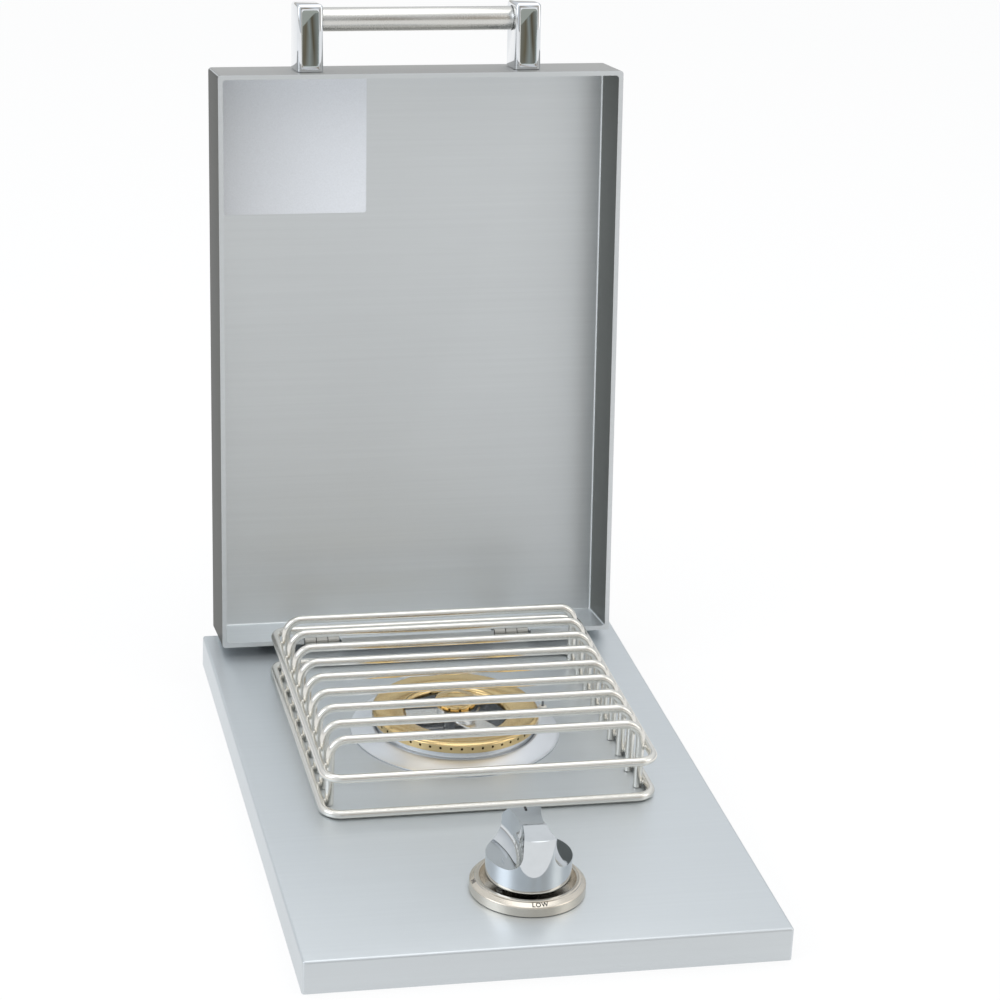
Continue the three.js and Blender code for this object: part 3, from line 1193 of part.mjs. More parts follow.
function grateRing(height) {
  const [x, y] = [ringHalfWidth, grateDepth / 2];
  const gap = WELD_GAP / 2;
  const corners = [
    at(gap, y, height),
    at(x, y, height),
    at(x, -y, height),
    at(-x, -y, height),
    at(-x, y, height),
    at(-gap, y, height),
  ];
  const rod = bentTube(corners, GRATE_CORNER, rodRadius, ROD_SIDES);
  const weld = rodX(rodRadius + WELD_CROWN, -WELD_LENGTH / 2, WELD_LENGTH / 2, SMALL_SIDES, y, height);
  return join(rod, weld);
}
piece(grate, 'grate_ring_lower', rodSteel, grateRing(SEAT + rodRadius));
piece(grate, 'grate_ring_upper', rodSteel, grateRing(UPPER_RING_HEIGHT));

for (let i = 0; i < BAR_COUNT; i += 1) {
  const y = -grateDepth / 2 + BAR_INSET + i * barPitch;
  const corners = [at(-legX, y, SEAT), at(-legX, y, BAR_HEIGHT), at(legX, y, BAR_HEIGHT), at(legX, y, SEAT)];
  piece(grate, `grate_bar_${i + 1}`, rodSteel, bentTube(corners, BAR_BEND, rodRadius, ROD_SIDES));
}

// Lid pan, drawn closed: its rear skirt's outer face is at y = 0 and the hinge axis at z = 0
const hingeXs = [-hingeX, hingeX];
const postXs = [-HANDLE_SPACING / 2, HANDLE_SPACING / 2];
const handleZ = (lidRim + lidTop) / 2;

function lidPan() {
  const half = lidWidth / 2;
  const outer = softBlock(-half, half, -lidLength, 0, lidTop - LID_DEPTH - LID_DEPTH, lidTop, LID_BEND);
  const below = block(-half - OVERRUN, half + OVERRUN, -lidLength - OVERRUN, OVERRUN,
    lidTop - LID_DEPTH - LID_DEPTH - OVERRUN, lidRim);
  const inner = softBlock(-half + LID_SHEET, half - LID_SHEET, -lidLength + LID_SHEET, -LID_SHEET,
    lidRim + LID_SHEET, lidTop - LID_SHEET, LID_BEND - LID_SHEET);
  const mouth = block(-half + LID_HEM, half - LID_HEM, -lidLength + LID_HEM, -LID_HEM,
    lidRim - OVERRUN, lidRim + LID_SHEET + LID_BEND);
  const notches = hingeXs.map((x) => block(x - NOTCH_WIDTH / 2, x + NOTCH_WIDTH / 2,
    -LID_HEM - OVERRUN, OVERRUN, lidRim - OVERRUN, lidRim + NOTCH_DEPTH));
  const holes = [];
  hingeXs.forEach((x) => {
    for (const place of [-RIVET_X, RIVET_X]) {
      holes.push(rodY(RIVET_RADIUS + HOLE_GAP, -LID_SHEET - OVERRUN, OVERRUN,
        SCREW_SIDES, x + place, RIVET_HEIGHT));
    }
  });
  postXs.forEach((x) => {
    for (const place of [-HANDLE_SCREW_OFFSET, HANDLE_SCREW_OFFSET]) {
      holes.push(rodY(HANDLE_SCREW_RADIUS + HOLE_GAP, -lidLength - OVERRUN, -lidLength + LID_SHEET + OVERRUN,
        SCREW_SIDES, x, handleZ + place));
    }
  });
  return cut(outer, below, inner, mouth, ...notches, ...holes);
}
piece(lid, 'lid_pan', lidSteel, lidPan());

const labelTop = lidTop - LID_SHEET - SEAT;
const labelLeft = -lidWidth / 2 + LID_SHEET + LABEL_EDGE;
const labelFront = -lidLength + LID_SHEET + LABEL_EDGE;
const label = block(labelLeft, labelLeft + LABEL_WIDTH, labelFront, labelFront + LABEL_LENGTH,
  labelTop - LABEL_SHEET, labelTop);
piece(lid, 'lid_label', foil, label);

// Hinges: the fixed leaf on the deck with its screws, the moving leaf in the lid with its rivets, and the pin
const hingeHalf = HINGE_WIDTH / 2;

function fixedLeaf() {
  const foot = -hingeHeight + SEAT;
  const webBack = KNUCKLE_RADIUS;
  const plate = block(-hingeHalf, hingeHalf, webBack - LEAF_SHEET, FIXED_LEAF_DEPTH, foot, foot + LEAF_SHEET);
  const shapes = [plate];
  const bores = [];
  for (const side of [-1, 1]) {
    const inner = side * (hingeHalf - knuckleOuter);
    const outer = side * hingeHalf;
    const [x0, x1] = [Math.min(inner, outer), Math.max(inner, outer)];
    shapes.push(rodX(KNUCKLE_RADIUS, x0, x1, SMALL_SIDES));
    shapes.push(block(x0, x1, webBack - LEAF_SHEET, webBack, foot, 0));
    bores.push(rodX(HINGE_PIN_RADIUS + HOLE_GAP, x0 - OVERRUN, x1 + OVERRUN, SCREW_SIDES));
    const screw = screwBlank(LEAF_SCREW_RADIUS, LEAF_SCREW_LENGTH, LEAF_SCREW_HEAD_RADIUS, LEAF_SCREW_HEAD);
    shapes.push(screw.translate(side * LEAF_SCREW_X, LEAF_SCREW_Y, foot + LEAF_SHEET - SEAT / 2));
  }
  return cut(join(...shapes), ...bores);
}

function movingLeaf() {
  const back = -LID_SHEET - SEAT;
  const front = back - LEAF_SHEET;
  const tongue = KNUCKLE_MIDDLE / 2 - HINGE_GAP / 2;
  const clear = KNUCKLE_RADIUS + HINGE_GAP;
  const shapes = [
    block(-hingeHalf, hingeHalf, front, back, clear, MOVING_LEAF_HEIGHT),
    block(-tongue, tongue, front, back, 0, clear + LEAF_SHEET),
    rodX(KNUCKLE_RADIUS, -tongue, tongue, SMALL_SIDES),
  ];
  for (const place of [-RIVET_X, RIVET_X]) {
    shapes.push(rodY(RIVET_RADIUS, front, SEAT + RIVET_HEAD / 2, SCREW_SIDES, place, RIVET_HEIGHT));
    shapes.push(rodY(RIVET_HEAD_RADIUS, SEAT, SEAT + RIVET_HEAD, SCREW_SIDES, place, RIVET_HEIGHT));
    shapes.push(rodY(RIVET_HEAD_RADIUS, front - RIVET_HEAD, front + SEAT, SCREW_SIDES, place, RIVET_HEIGHT));
  }
  const bore = rodX(HINGE_PIN_RADIUS + HOLE_GAP, -tongue - OVERRUN, tongue + OVERRUN, SCREW_SIDES);
  return cut(join(...shapes), bore);
}

const pinHalf = hingeHalf + SEAT;
const hingePin = join(
  rodX(HINGE_PIN_RADIUS, -pinHalf - HINGE_PIN_HEAD / 2, pinHalf + HINGE_PIN_HEAD / 2, SCREW_SIDES),
  rodX(HINGE_PIN_HEAD_RADIUS, -pinHalf - HINGE_PIN_HEAD, -pinHalf, SCREW_SIDES),
  rodX(HINGE_PIN_HEAD_RADIUS, pinHalf, pinHalf + HINGE_PIN_HEAD, SCREW_SIDES),
);
['left', 'right'].forEach((name, i) => {
  const onDeck = groupAt(deck, hingeXs[i], hingeY, hingeHeight);
  const onLid = groupAt(lid, hingeXs[i], 0, 0);
  piece(onDeck, `hinge_fixed_leaf_${name}`, rodSteel, fixedLeaf());
  piece(onDeck, `hinge_pin_${name}`, springSteel, hingePin.clone());
  piece(onLid, `hinge_moving_leaf_${name}`, rodSteel, movingLeaf());
});

// Stop pads on the deck's rear edge, sloped like the heel of the open lid
function stopPad() {
  const back = DECK_DEPTH - PAD_EDGE;
  const front = back - PAD_DEPTH;
  const under = (y) => hingeHeight - (y - hingeY) * Math.tan(lidTilt) - SEAT / Math.cos(lidTilt);
  const outline = [[front, SEAT], [back, SEAT], [back, under(back)], [front, under(front)]];
  return prismX(outline, -PAD_WIDTH / 2, PAD_WIDTH / 2);
}
piece(deck, 'stop_pad_left', rubber, stopPad().translate(-padX, 0, 0));
piece(deck, 'stop_pad_right', rubber, stopPad().translate(padX, 0, 0));

// Handle: two posts with a recessed panel and their screws, and the tube between them
const postFoot = -lidLength - SEAT;
const postHead = postFoot - POST_HEIGHT;
const handleY = postHead + HANDLE_AXIS_BELOW_TOP;

function handlePost(side) {
  const half = POST_WIDTH / 2;
  const [low, high] = [handleZ - POST_DEPTH / 2, handleZ + POST_DEPTH / 2];
  const blank = softBlock(-half, half, postHead, postFoot + POST_EDGE + POST_EDGE, low, high, POST_EDGE);
  const foot = block(-half - OVERRUN, half + OVERRUN, postFoot, postFoot + POST_HEIGHT,
    low - OVERRUN, high + OVERRUN);
  const panelHalf = POST_PANEL_WIDTH / 2;
  const panelEnds = [postHead + POST_PANEL_HEAD, postFoot - POST_PANEL_FOOT];
  const panel = block(-panelHalf, panelHalf, ...panelEnds, low - OVERRUN, low + POST_PANEL_SINK);
  const inward = -side * half;
  const socket = rodX(HANDLE_RADIUS + SEAT, Math.min(inward, inward + side * HANDLE_SOCKET),
    Math.max(inward, inward + side * HANDLE_SOCKET), SMALL_SIDES, handleY, handleZ);
  const head = -lidLength + LID_SHEET + SEAT;
  const length = head - postFoot + HANDLE_SCREW_REACH;
  const screws = [-HANDLE_SCREW_OFFSET, HANDLE_SCREW_OFFSET].map((place) => {
    const screw = screwBlank(HANDLE_SCREW_RADIUS, length, HANDLE_SCREW_HEAD_RADIUS, HANDLE_SCREW_HEAD);
    return screw.rotateX(-QUARTER).translate(0, head, handleZ + place);
  });
  return join(cut(blank, foot, panel, socket), ...screws);
}
[['left', -1], ['right', 1]].forEach(([name, side]) => {
  const post = groupAt(lid, side * HANDLE_SPACING / 2, 0, 0);
  piece(post, `handle_post_${name}`, chrome, handlePost(side));
});
const tubeHalf = HANDLE_SPACING / 2 - POST_WIDTH / 2 + HANDLE_SOCKET - SEAT;
piece(lid, 'handle_tube', satinTube, rodX(HANDLE_RADIUS, -tubeHalf, tubeHalf, SMALL_SIDES, handleY, handleZ));

export default part;
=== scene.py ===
"""Finishes and fine shapes of a drop-in gas side burner, with its studio and camera."""
import json
import math

import bmesh
import bpy
from mathutils import Matrix, Vector

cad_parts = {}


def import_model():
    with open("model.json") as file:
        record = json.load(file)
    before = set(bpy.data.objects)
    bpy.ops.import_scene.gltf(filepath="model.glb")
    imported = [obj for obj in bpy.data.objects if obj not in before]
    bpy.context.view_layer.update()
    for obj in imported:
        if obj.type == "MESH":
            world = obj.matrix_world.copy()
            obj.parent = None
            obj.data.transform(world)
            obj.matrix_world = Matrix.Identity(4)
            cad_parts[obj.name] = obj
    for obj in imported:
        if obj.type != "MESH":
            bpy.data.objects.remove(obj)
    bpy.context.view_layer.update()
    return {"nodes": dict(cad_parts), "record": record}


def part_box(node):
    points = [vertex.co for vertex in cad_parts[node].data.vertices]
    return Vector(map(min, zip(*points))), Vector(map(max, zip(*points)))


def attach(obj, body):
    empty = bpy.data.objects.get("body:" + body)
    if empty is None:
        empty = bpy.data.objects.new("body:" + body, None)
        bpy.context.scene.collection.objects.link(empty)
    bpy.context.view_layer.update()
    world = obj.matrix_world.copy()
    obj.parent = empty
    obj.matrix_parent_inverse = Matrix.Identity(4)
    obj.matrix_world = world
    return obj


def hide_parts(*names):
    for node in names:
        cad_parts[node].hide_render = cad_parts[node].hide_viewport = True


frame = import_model()

bl_info = {
    "name": "Side burner dress",
    "version": (1, 0, 0),
    "blender": (4, 5, 0),
    "location": "3D View > Sidebar > Side burner",
    "description": "Models the fine shapes and finishes of a drop-in gas side burner",
    "category": "Object",
}

MM = 0.001
UP = Vector((0, 0, 1))
GRAIN_MAP = "grain"
# Points nearer to each other than this are one point
SEAM = 0.5e-5
# Half the height by which the letters stand on the bezel
LETTER_LIFT = 0.00004
# Finishes by name, filled as they are first asked for
MADE_FINISHES = {}

# Fixed places in millimetres. The lid's and the handle's are on the closed lid, from its hinge axis
LID_HALF, LID_FRONT, LID_FOOT, LID_TOP = 155, -442.6, -6.41, 51.89
HINGE_PLACE = 76
POST_PLACE, POST_HALF, POST_RECESS = 83.5, 10, 8.24
POST_OUTER, POST_INNER, POST_LOW, POST_HIGH = -492.88, -442.9, 6.74, 38.74
TUBE_Y, TUBE_Z, TUBE_RADIUS, TUBE_HALF = -480.3, 22.74, 9, 77.2
# The grate's are from the middle of the deck's front edge and its top
RING_HALF, RING_FRONT, RING_BACK = 119.3, 190, 441.45
RING_HEIGHTS = {"lower": 3.45, "upper": 31.4}
BAR_COUNT, BAR_HALF, BAR_FOOT, BAR_TOP = 9, 112.7, 0.4, 50.5
WELD_PLACE = 116.1
# The slope that carries the bezel's letters: its middle and its two edges, as radius and height
LETTER_RADIUS, LETTER_HEIGHT = 37.5, 8.555
SLOPE_INNER, SLOPE_OUTER = (36.2, 9.5), (38.8, 7.61)

# Places taken from the frame: the deck's top, the burner's and the knob's axes, the lid's hinge
DECK_LOW, DECK_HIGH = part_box("deck_panel")
BOWL_LOW, BOWL_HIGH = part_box("burner_bowl")
BEZEL_LOW, BEZEL_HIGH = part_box("bezel")
DECK_TOP = DECK_HIGH.z
BURNER_AXIS = Vector(((BOWL_LOW.x + BOWL_HIGH.x) / 2, (BOWL_LOW.y + BOWL_HIGH.y) / 2, DECK_TOP))
KNOB_AXIS = Vector(((BEZEL_LOW.x + BEZEL_HIGH.x) / 2, (BEZEL_LOW.y + BEZEL_HIGH.y) / 2, DECK_TOP))
LID_HINGE = next(
    joint for joint in frame["record"]["behaviour"]["joints"] if joint["name"] == "lid_hinge")
HINGE_AXIS = Vector(LID_HINGE["pos_m"])
LID_OPEN = math.radians(LID_HINGE["range_deg"][0])


def linear(hex_colour):
    """Turns an sRGB hex colour to linear red, green and blue."""
    parts = [int(hex_colour[i:i + 2], 16) / 255 for i in (1, 3, 5)]
    return tuple(c / 12.92 if c <= 0.04045 else ((c + 0.055) / 1.055) ** 2.4 for c in parts)


def length(name, description, millimetres):
    """A length that a user may change, kept in metres."""
    return bpy.props.FloatProperty(
        name=name, description=description, default=millimetres * MM, min=0, unit="LENGTH", precision=4)


def colour(name, description, hex_colour):
    """A colour that a user may change."""
    return bpy.props.FloatVectorProperty(
        name=name, description=description, default=linear(hex_colour), min=0, max=1, subtype="COLOR")


class SideBurnerSizes(bpy.types.PropertyGroup):
    """Sizes that the finished pieces are modelled to."""

    sheet_bend: length("Deck bend", "Outer radius of the deck's folded edges", 2.0)
    sheet: length("Deck sheet", "Thickness of the deck's steel", 1.2)
    lid_bend: length("Lid bend", "Outer radius of the lid's folded edges", 2.4)
    lid_sheet: length("Lid sheet", "Thickness of the lid's steel", 1.0)
    lid_hem: length("Lid hem", "Width of the lid's turned-in rim", 3.5)
    rod: length("Rod", "Diameter of the grate's rods", 6.3)
    rod_bend: length("Bar bend", "Middle radius of the bars' bends", 12.0)
    ring_corner: length("Ring corner", "Middle radius of the grate rings' corners", 13.0)
    weld: length("Weld bead", "Radius of a weld bead", 1.4)
    port: length("Port", "Radius of a burner port", 0.95)
    knob: length("Knob", "Radius of the knob's round foot", 29.3)
    letters: length("Letters", "Height of the bezel's letters", 3.1)


class SideBurnerColours(bpy.types.PropertyGroup):
    """Colours of the finishes."""

    deck: colour("Deck steel", "Brushed stainless steel of the deck", "#D2D7DA")
    lid: colour("Lid steel", "Brushed stainless steel of the lid", "#DDE1E3")
    # Darker than the lid's steel: painted shade on the lid's side walls, not their brushing
    lid_wall: colour("Lid wall steel", "Lid walls, seen across their brushing", "#A8A9A6")
    # Darker than the lid's steel: painted shade on the front wall's outside, under the handle
    lid_front: colour("Lid front steel", "Lid front, under the handle", "#ADADAB")
    rod: colour("Rod steel", "Polished stainless rod", "#E6E4DE")
    bowl: colour("Spun aluminium", "Bright spun bowl", "#EEF2F8")
    casting: colour("Cast aluminium", "Burner casting", "#E2E4E5")
    brass: colour("Brass", "Machined burner brass", "#DEC491")
    chrome: colour("Chrome", "Plated handle posts", "#E3E6E9")
    knob_chrome: colour("Knob chrome", "Plated knob", "#D0D4D7")
    nickel: colour("Satin nickel", "Bezel", "#D6CFC3")
    tube: colour("Satin tube", "Handle tube", "#D3D2CE")
    zinc: colour("Zinc coat", "Galvanised housing", "#A9AEB1")
    film: colour("Label film", "Blank film in the lid", "#EEF1F6")
    worktop: colour("Worktop", "Pale surface round the burner", "#FAFAFA")


def mid(a, b):
    return (Vector(a) + Vector(b)) / 2


def sizes():
    return bpy.context.scene.side_burner_sizes


def colours():
    return bpy.context.scene.side_burner_colours


# Modelling helpers
def deselect():
    if bpy.context.object and bpy.context.object.mode != "OBJECT":
        bpy.ops.object.mode_set(mode="OBJECT")
    bpy.ops.object.select_all(action="DESELECT")


def activate(obj):
    deselect()
    obj.select_set(True)
    bpy.context.view_layer.objects.active = obj


def settle(obj, name=None):
    """Puts the object's place into its mesh."""
    activate(obj)
    bpy.ops.object.transform_apply(location=True, rotation=True, scale=True)
    if name:
        obj.name = name
        obj.data.name = name
    return obj


class Shaping:
    """Edit mode on one object."""

    def __init__(self, obj):
        self.obj = obj

    def __enter__(self):
        activate(self.obj)
        bpy.ops.object.mode_set(mode="EDIT")
        bpy.ops.mesh.select_mode(type="VERT")
        return self

    def __exit__(self, *failure):
        bpy.ops.object.mode_set(mode="OBJECT")

    def everything(self):
        bpy.ops.mesh.select_all(action="SELECT")

    def choose(self, kind, test):
        """Selects the faces, edges or vertices that pass a test and nothing else."""
        bpy.ops.mesh.select_mode(type={"faces": "FACE", "edges": "EDGE", "verts": "VERT"}[kind])
        bpy.ops.mesh.select_all(action="DESELECT")
        mesh = bmesh.from_edit_mesh(self.obj.data)
        for item in getattr(mesh, kind):
            if test(item):
                item.select_set(True)
        bmesh.update_edit_mesh(self.obj.data)

    def tidy(self):
        """Closes the seams and turns the faces outwards."""
        self.everything()
        bpy.ops.mesh.remove_doubles(threshold=SEAM)
        bpy.ops.mesh.normals_make_consistent(inside=False)


def middle_of(edge):
    return (edge.verts[0].co + edge.verts[1].co) / 2


def smooth(obj, degrees=35):
    activate(obj)
    bpy.ops.object.shade_smooth_by_angle(angle=math.radians(degrees))


def box_blank(name, low, high):
    deselect()
    low, high = Vector(low), Vector(high)
    bpy.ops.mesh.primitive_cube_add(size=1, location=mid(low, high), scale=high - low)
    return settle(bpy.context.object, name)


def round_blank(name, radius, low, high, sides=64):
    """A cylinder between two points."""
    deselect()
    low, high = Vector(low), Vector(high)
    run = high - low
    bpy.ops.mesh.primitive_cylinder_add(
        vertices=sides, radius=radius, depth=run.length, location=mid(low, high),
        rotation=run.to_track_quat("Z", "Y").to_euler())
    return settle(bpy.context.object, name)


def outline(name, points, closed=True):
    """Draws a line from point to point, and back to the first one if it is closed."""
    deselect()
    bpy.ops.mesh.primitive_plane_add(size=MM, location=points[0])
    obj = settle(bpy.context.object, name)
    with Shaping(obj) as shape:
        shape.everything()
        bpy.ops.mesh.merge(type="CENTER")
        for before, after in zip(points, points[1:] + points[:1] if closed else points[1:]):
            bpy.ops.mesh.extrude_vertices_move(TRANSFORM_OT_translate={"value": after - before})
        shape.everything()
        bpy.ops.mesh.remove_doubles(threshold=SEAM)
    return obj


def turned(name, profile, axis, sides=96):
    """Spins a profile of (radius, height) points in millimetres round an upright axis."""
    points = [Vector((axis.x + r * MM, axis.y, axis.z + z * MM)) for r, z in profile]
    obj = outline(name, points, closed=profile[0][0] > 0)
    with Shaping(obj) as shape:
        shape.everything()
        bpy.ops.mesh.spin(steps=sides, angle=math.tau, center=axis, axis=UP, use_auto_merge=True)
        shape.tidy()
    return obj


def arc(centre, radius, start, end, steps):
    """Points of (radius, height) on a round corner, angles in degrees."""
    angles = [math.radians(start + (end - start) * i / steps) for i in range(steps + 1)]
    return [(centre[0] + radius * math.cos(a), centre[1] + radius * math.sin(a)) for a in angles]


def bent_rod(name, corners, bend, radius, sides=24, steps=10, closed=False):
    """A round section run along straight stretches and spun round each bend."""
    corners = [Vector(c) for c in corners]
    first = (corners[1] - corners[0]).normalized()
    deselect()
    bpy.ops.mesh.primitive_circle_add(
        vertices=sides, radius=radius, fill_type="NOTHING" if closed else "NGON", location=corners[0],
        rotation=first.to_track_quat("Z", "Y").to_euler())
    obj = settle(bpy.context.object, name)
    here = corners[0]
    with Shaping(obj) as shape:
        shape.everything()
        for i in range(1, len(corners)):
            run = (corners[i] - corners[i - 1]).normalized()
            last = i == len(corners) - 1
            after = run if last else (corners[i + 1] - corners[i]).normalized()
            turn = run.angle(after)
            stop = corners[i] - run * (0 if last else bend * math.tan(turn / 2))
            bpy.ops.mesh.extrude_region_move(TRANSFORM_OT_translate={"value": stop - here})
            if not last:
                side = (after - run * run.dot(after)).normalized()
                bpy.ops.mesh.spin(
                    steps=steps, angle=turn, center=stop + side * bend, axis=side.cross(run),
                    use_auto_merge=False)
                here = corners[i] + after * bend * math.tan(turn / 2)
        shape.tidy()
    smooth(obj, 50)
    return obj


def apply_modifier(obj, kind, **settings):
    activate(obj)
    modifier = obj.modifiers.new(kind.title(), kind)
    for key, value in settings.items():
        setattr(modifier, key, value)
    bpy.ops.object.modifier_apply(modifier=modifier.name)
    return obj


def joined(name, objects):
    activate(objects[0])
    for obj in objects[1:]:
        obj.select_set(True)
    bpy.ops.object.join()
    objects[0].name = name
    return objects[0]


def carve(obj, cutters, operation="DIFFERENCE"):
    """Cuts one or more tools out of a piece, or melts them into it, and clears them away."""
    for tool in cutters:
        apply_modifier(obj, "BOOLEAN", operation=operation, solver="EXACT", object=tool)
        bpy.data.objects.remove(tool, do_unlink=True)
    return obj


def soften(obj, width, segments=3, degrees=35):
    """Rounds every edge that is sharper than an angle."""
    apply_modifier(
        obj, "BEVEL", width=width, segments=segments, limit_method="ANGLE",
        angle_limit=math.radians(degrees), harden_normals=False)
    return obj


def open_lid(obj):
    """Swings a piece that was modelled on the closed lid, hinge axis at the origin, to its place."""
    obj.matrix_world = Matrix.Translation(HINGE_AXIS) @ Matrix.Rotation(LID_OPEN, 4, "X")
    return settle(obj)


def grain_map(obj):
    """Lays a map in metres on a folded sheet: u runs with the brushing and v square to it."""
    layer = obj.data.uv_layers.get(GRAIN_MAP) or obj.data.uv_layers.new(name=GRAIN_MAP)
    for face in obj.data.polygons:
        side = max(range(3), key=lambda i: abs(face.normal[i]))
        u, v = {0: (2, 1), 1: (0, 2), 2: (0, 1)}[side]
        for corner in face.loop_indices:
            place = obj.data.vertices[obj.data.loops[corner].vertex_index].co
            layer.data[corner].uv = (place[u], place[v])


def finish_piece(obj, material, body, slot, *nodes):
    """Gives a piece its finish, its body and the nodes that it stands for."""
    obj.data.materials.clear()
    obj.data.materials.append(material)
    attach(obj, body)
    if nodes:
        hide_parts(*nodes)
    return obj


# Finishes
def node(tree, kind, inputs=None, **settings):
    """Adds a node, sets it up and links or sets its inputs."""
    made = tree.nodes.new("ShaderNode" + kind)
    for key, value in settings.items():
        setattr(made, key, value)
    for key, value in (inputs or {}).items():
        if isinstance(value, bpy.types.NodeSocket):
            tree.links.new(value, made.inputs[key])
        else:
            made.inputs[key].default_value = value
    return made


def blank_finish(name):
    """A material with a bare shader, and the tree it is built in."""
    material = bpy.data.materials.new(name)
    material.use_nodes = True
    tree = material.node_tree
    tree.nodes.clear()
    shader = node(tree, "BsdfPrincipled")
    node(tree, "OutputMaterial", {"Surface": shader.outputs["BSDF"]})
    return material, tree, shader


def set_shader(shader, **values):
    """Sets values that are the same all over the surface."""
    names = {"metallic": "Metallic", "roughness": "Roughness", "anisotropic": "Anisotropic",
             "turn": "Anisotropic Rotation", "specular": "Specular IOR Level", "edge": "Specular Tint"}
    for key, value in values.items():
        shader.inputs[names[key]].default_value = value


def tint(tree, shader, factor, base, darker, lighter):
    """Runs the surface's colour from a darker to a lighter shade of the base with a factor."""
    ramp = node(tree, "ValToRGB", {"Fac": factor})
    ramp.color_ramp.elements[0].color = (*[c * darker for c in base], 1)
    ramp.color_ramp.elements[1].color = (*[min(c * lighter, 1) for c in base], 1)
    ramp.color_ramp.elements[0].position = 0.25
    ramp.color_ramp.elements[1].position = 0.75
    tree.links.new(ramp.outputs["Color"], shader.inputs["Base Color"])


def texture(tree, shader, factor, roughest, strength, depth):
    """Lets a factor from 0 to 1 move the roughness between two values and raise the surface."""
    rough = node(tree, "MapRange", {"Value": factor, "To Min": roughest[0], "To Max": roughest[1]})
    tree.links.new(rough.outputs["Result"], shader.inputs["Roughness"])
    bump = node(tree, "Bump", {"Height": factor, "Strength": strength, "Distance": depth})
    tree.links.new(bump.outputs["Normal"], shader.inputs["Normal"])


def noise(tree, place, scale, detail, rough=0.5):
    """Cloudy noise from 0 to 1, its scale in clouds per unit of the place."""
    made = node(tree, "TexNoise", {
        "Vector": place, "Scale": scale, "Detail": detail, "Roughness": rough})
    return made.outputs["Fac"]


def object_place(tree, scale=(1, 1, 1), centre=(0, 0, 0)):
    """Object coordinates, scaled per metre about a centre."""
    place = node(tree, "TexCoord").outputs["Object"]
    offset = [-c * s for c, s in zip(centre, scale)]
    placed = node(tree, "Mapping", {"Vector": place, "Scale": scale, "Location": offset})
    return placed.outputs["Vector"]


def brushed_stainless(name, base, roughness, spread, edge=1.0):
    """Cold rolled stainless sheet, belt brushed: fine lines that pull highlights across.

    A low edge value darkens the sheet where it is seen at a slant: painted shade, used on the lid's
    walls.
    """
    material, tree, shader = blank_finish(name)
    set_shader(shader, metallic=1, roughness=roughness, anisotropic=0.55, turn=0.25)
    set_shader(shader, edge=(edge, edge, edge, 1))
    place = node(tree, "UVMap", uv_map=GRAIN_MAP).outputs["UV"]
    # Lines about 0.35 mm apart and 60 mm long: real ones are finer, and wouldn't show
    fine = node(tree, "Mapping", {"Vector": place, "Scale": (16, 2800, 1)}).outputs["Vector"]
    lines = noise(tree, fine, 1, 3, 0.6)
    # Faint bands about 3 mm apart, and clouds some 170 mm across, from uneven pressure
    broad = node(tree, "Mapping", {"Vector": place, "Scale": (5, 320, 1)}).outputs["Vector"]
    bands = noise(tree, broad, 1, 2)
    cloud = noise(tree, place, 6, 1)
    mixed = node(tree, "Math", {0: lines, 1: bands}, operation="ADD").outputs[0]
    mixed = node(tree, "Math", {0: mixed, 1: cloud}, operation="ADD").outputs[0]
    third = node(tree, "Math", {0: mixed, 1: 3.0}, operation="DIVIDE").outputs[0]
    tint(tree, shader, third, base, 1 - spread, 1 + spread)
    texture(tree, shader, lines, (roughness - 0.05, roughness + 0.07), 0.12, 0.00006)
    tangent = node(tree, "Tangent", direction_type="UV_MAP", uv_map=GRAIN_MAP)
    tree.links.new(tangent.outputs["Tangent"], shader.inputs["Tangent"])
    return material


def drawn_rod(name, base):
    """Drawn stainless rod, barrel polished: soft bright highlights with faint handling marks."""
    material, tree, shader = blank_finish(name)
    set_shader(shader, metallic=1, roughness=0.25)
    marks = noise(tree, object_place(tree), 260, 2)
    tint(tree, shader, marks, base, 0.98, 1.01)
    texture(tree, shader, marks, (0.22, 0.29), 0.03, 0.00005)
    return material


def turned_metal(name, base, roughness, centre, pitch, depth, spread=0.04, pull=0.0):
    """Metal turned on a lathe or spun: fine rings, a pitch apart, that pull highlights into fans."""
    material, tree, shader = blank_finish(name)
    set_shader(shader, metallic=1, roughness=roughness, anisotropic=pull)
    flat = object_place(tree, (1, 1, 0), centre)
    reach = node(tree, "VectorMath", {0: flat}, operation="LENGTH").outputs["Value"]
    ringed = node(tree, "Math", {0: reach, 1: 1 / pitch}, operation="MULTIPLY").outputs[0]
    rings = node(tree, "TexNoise", {"W": ringed, "Scale": 1, "Detail": 2}, noise_dimensions="1D")
    rings = rings.outputs["Fac"]
    stain = noise(tree, object_place(tree), 45, 2)
    both = node(tree, "Math", {0: rings, 1: stain}, operation="ADD").outputs[0]
    half = node(tree, "Math", {0: both, 1: 0.5}, operation="MULTIPLY").outputs[0]
    tint(tree, shader, half, base, 1 - spread, 1 + spread)
    texture(tree, shader, rings, (roughness - 0.04, roughness + 0.06), 0.25, depth)
    # The rings run square to the line that leads to the axis
    around = node(tree, "VectorMath", {0: flat, 1: (0, 0, 1)}, operation="CROSS_PRODUCT")
    tree.links.new(around.outputs["Vector"], shader.inputs["Tangent"])
    return material


def grainy_metal(name, base, roughness, grain, depth, spread=0.05):
    """Cast or coated metal: a fine grain in its colour, gloss and surface."""
    material, tree, shader = blank_finish(name)
    set_shader(shader, metallic=1, roughness=roughness)
    spots = noise(tree, object_place(tree), 1 / grain, 4)
    tint(tree, shader, spots, base, 1 - spread, 1 + spread)
    texture(tree, shader, spots, (roughness - 0.08, roughness + 0.1), 0.3, depth)
    return material


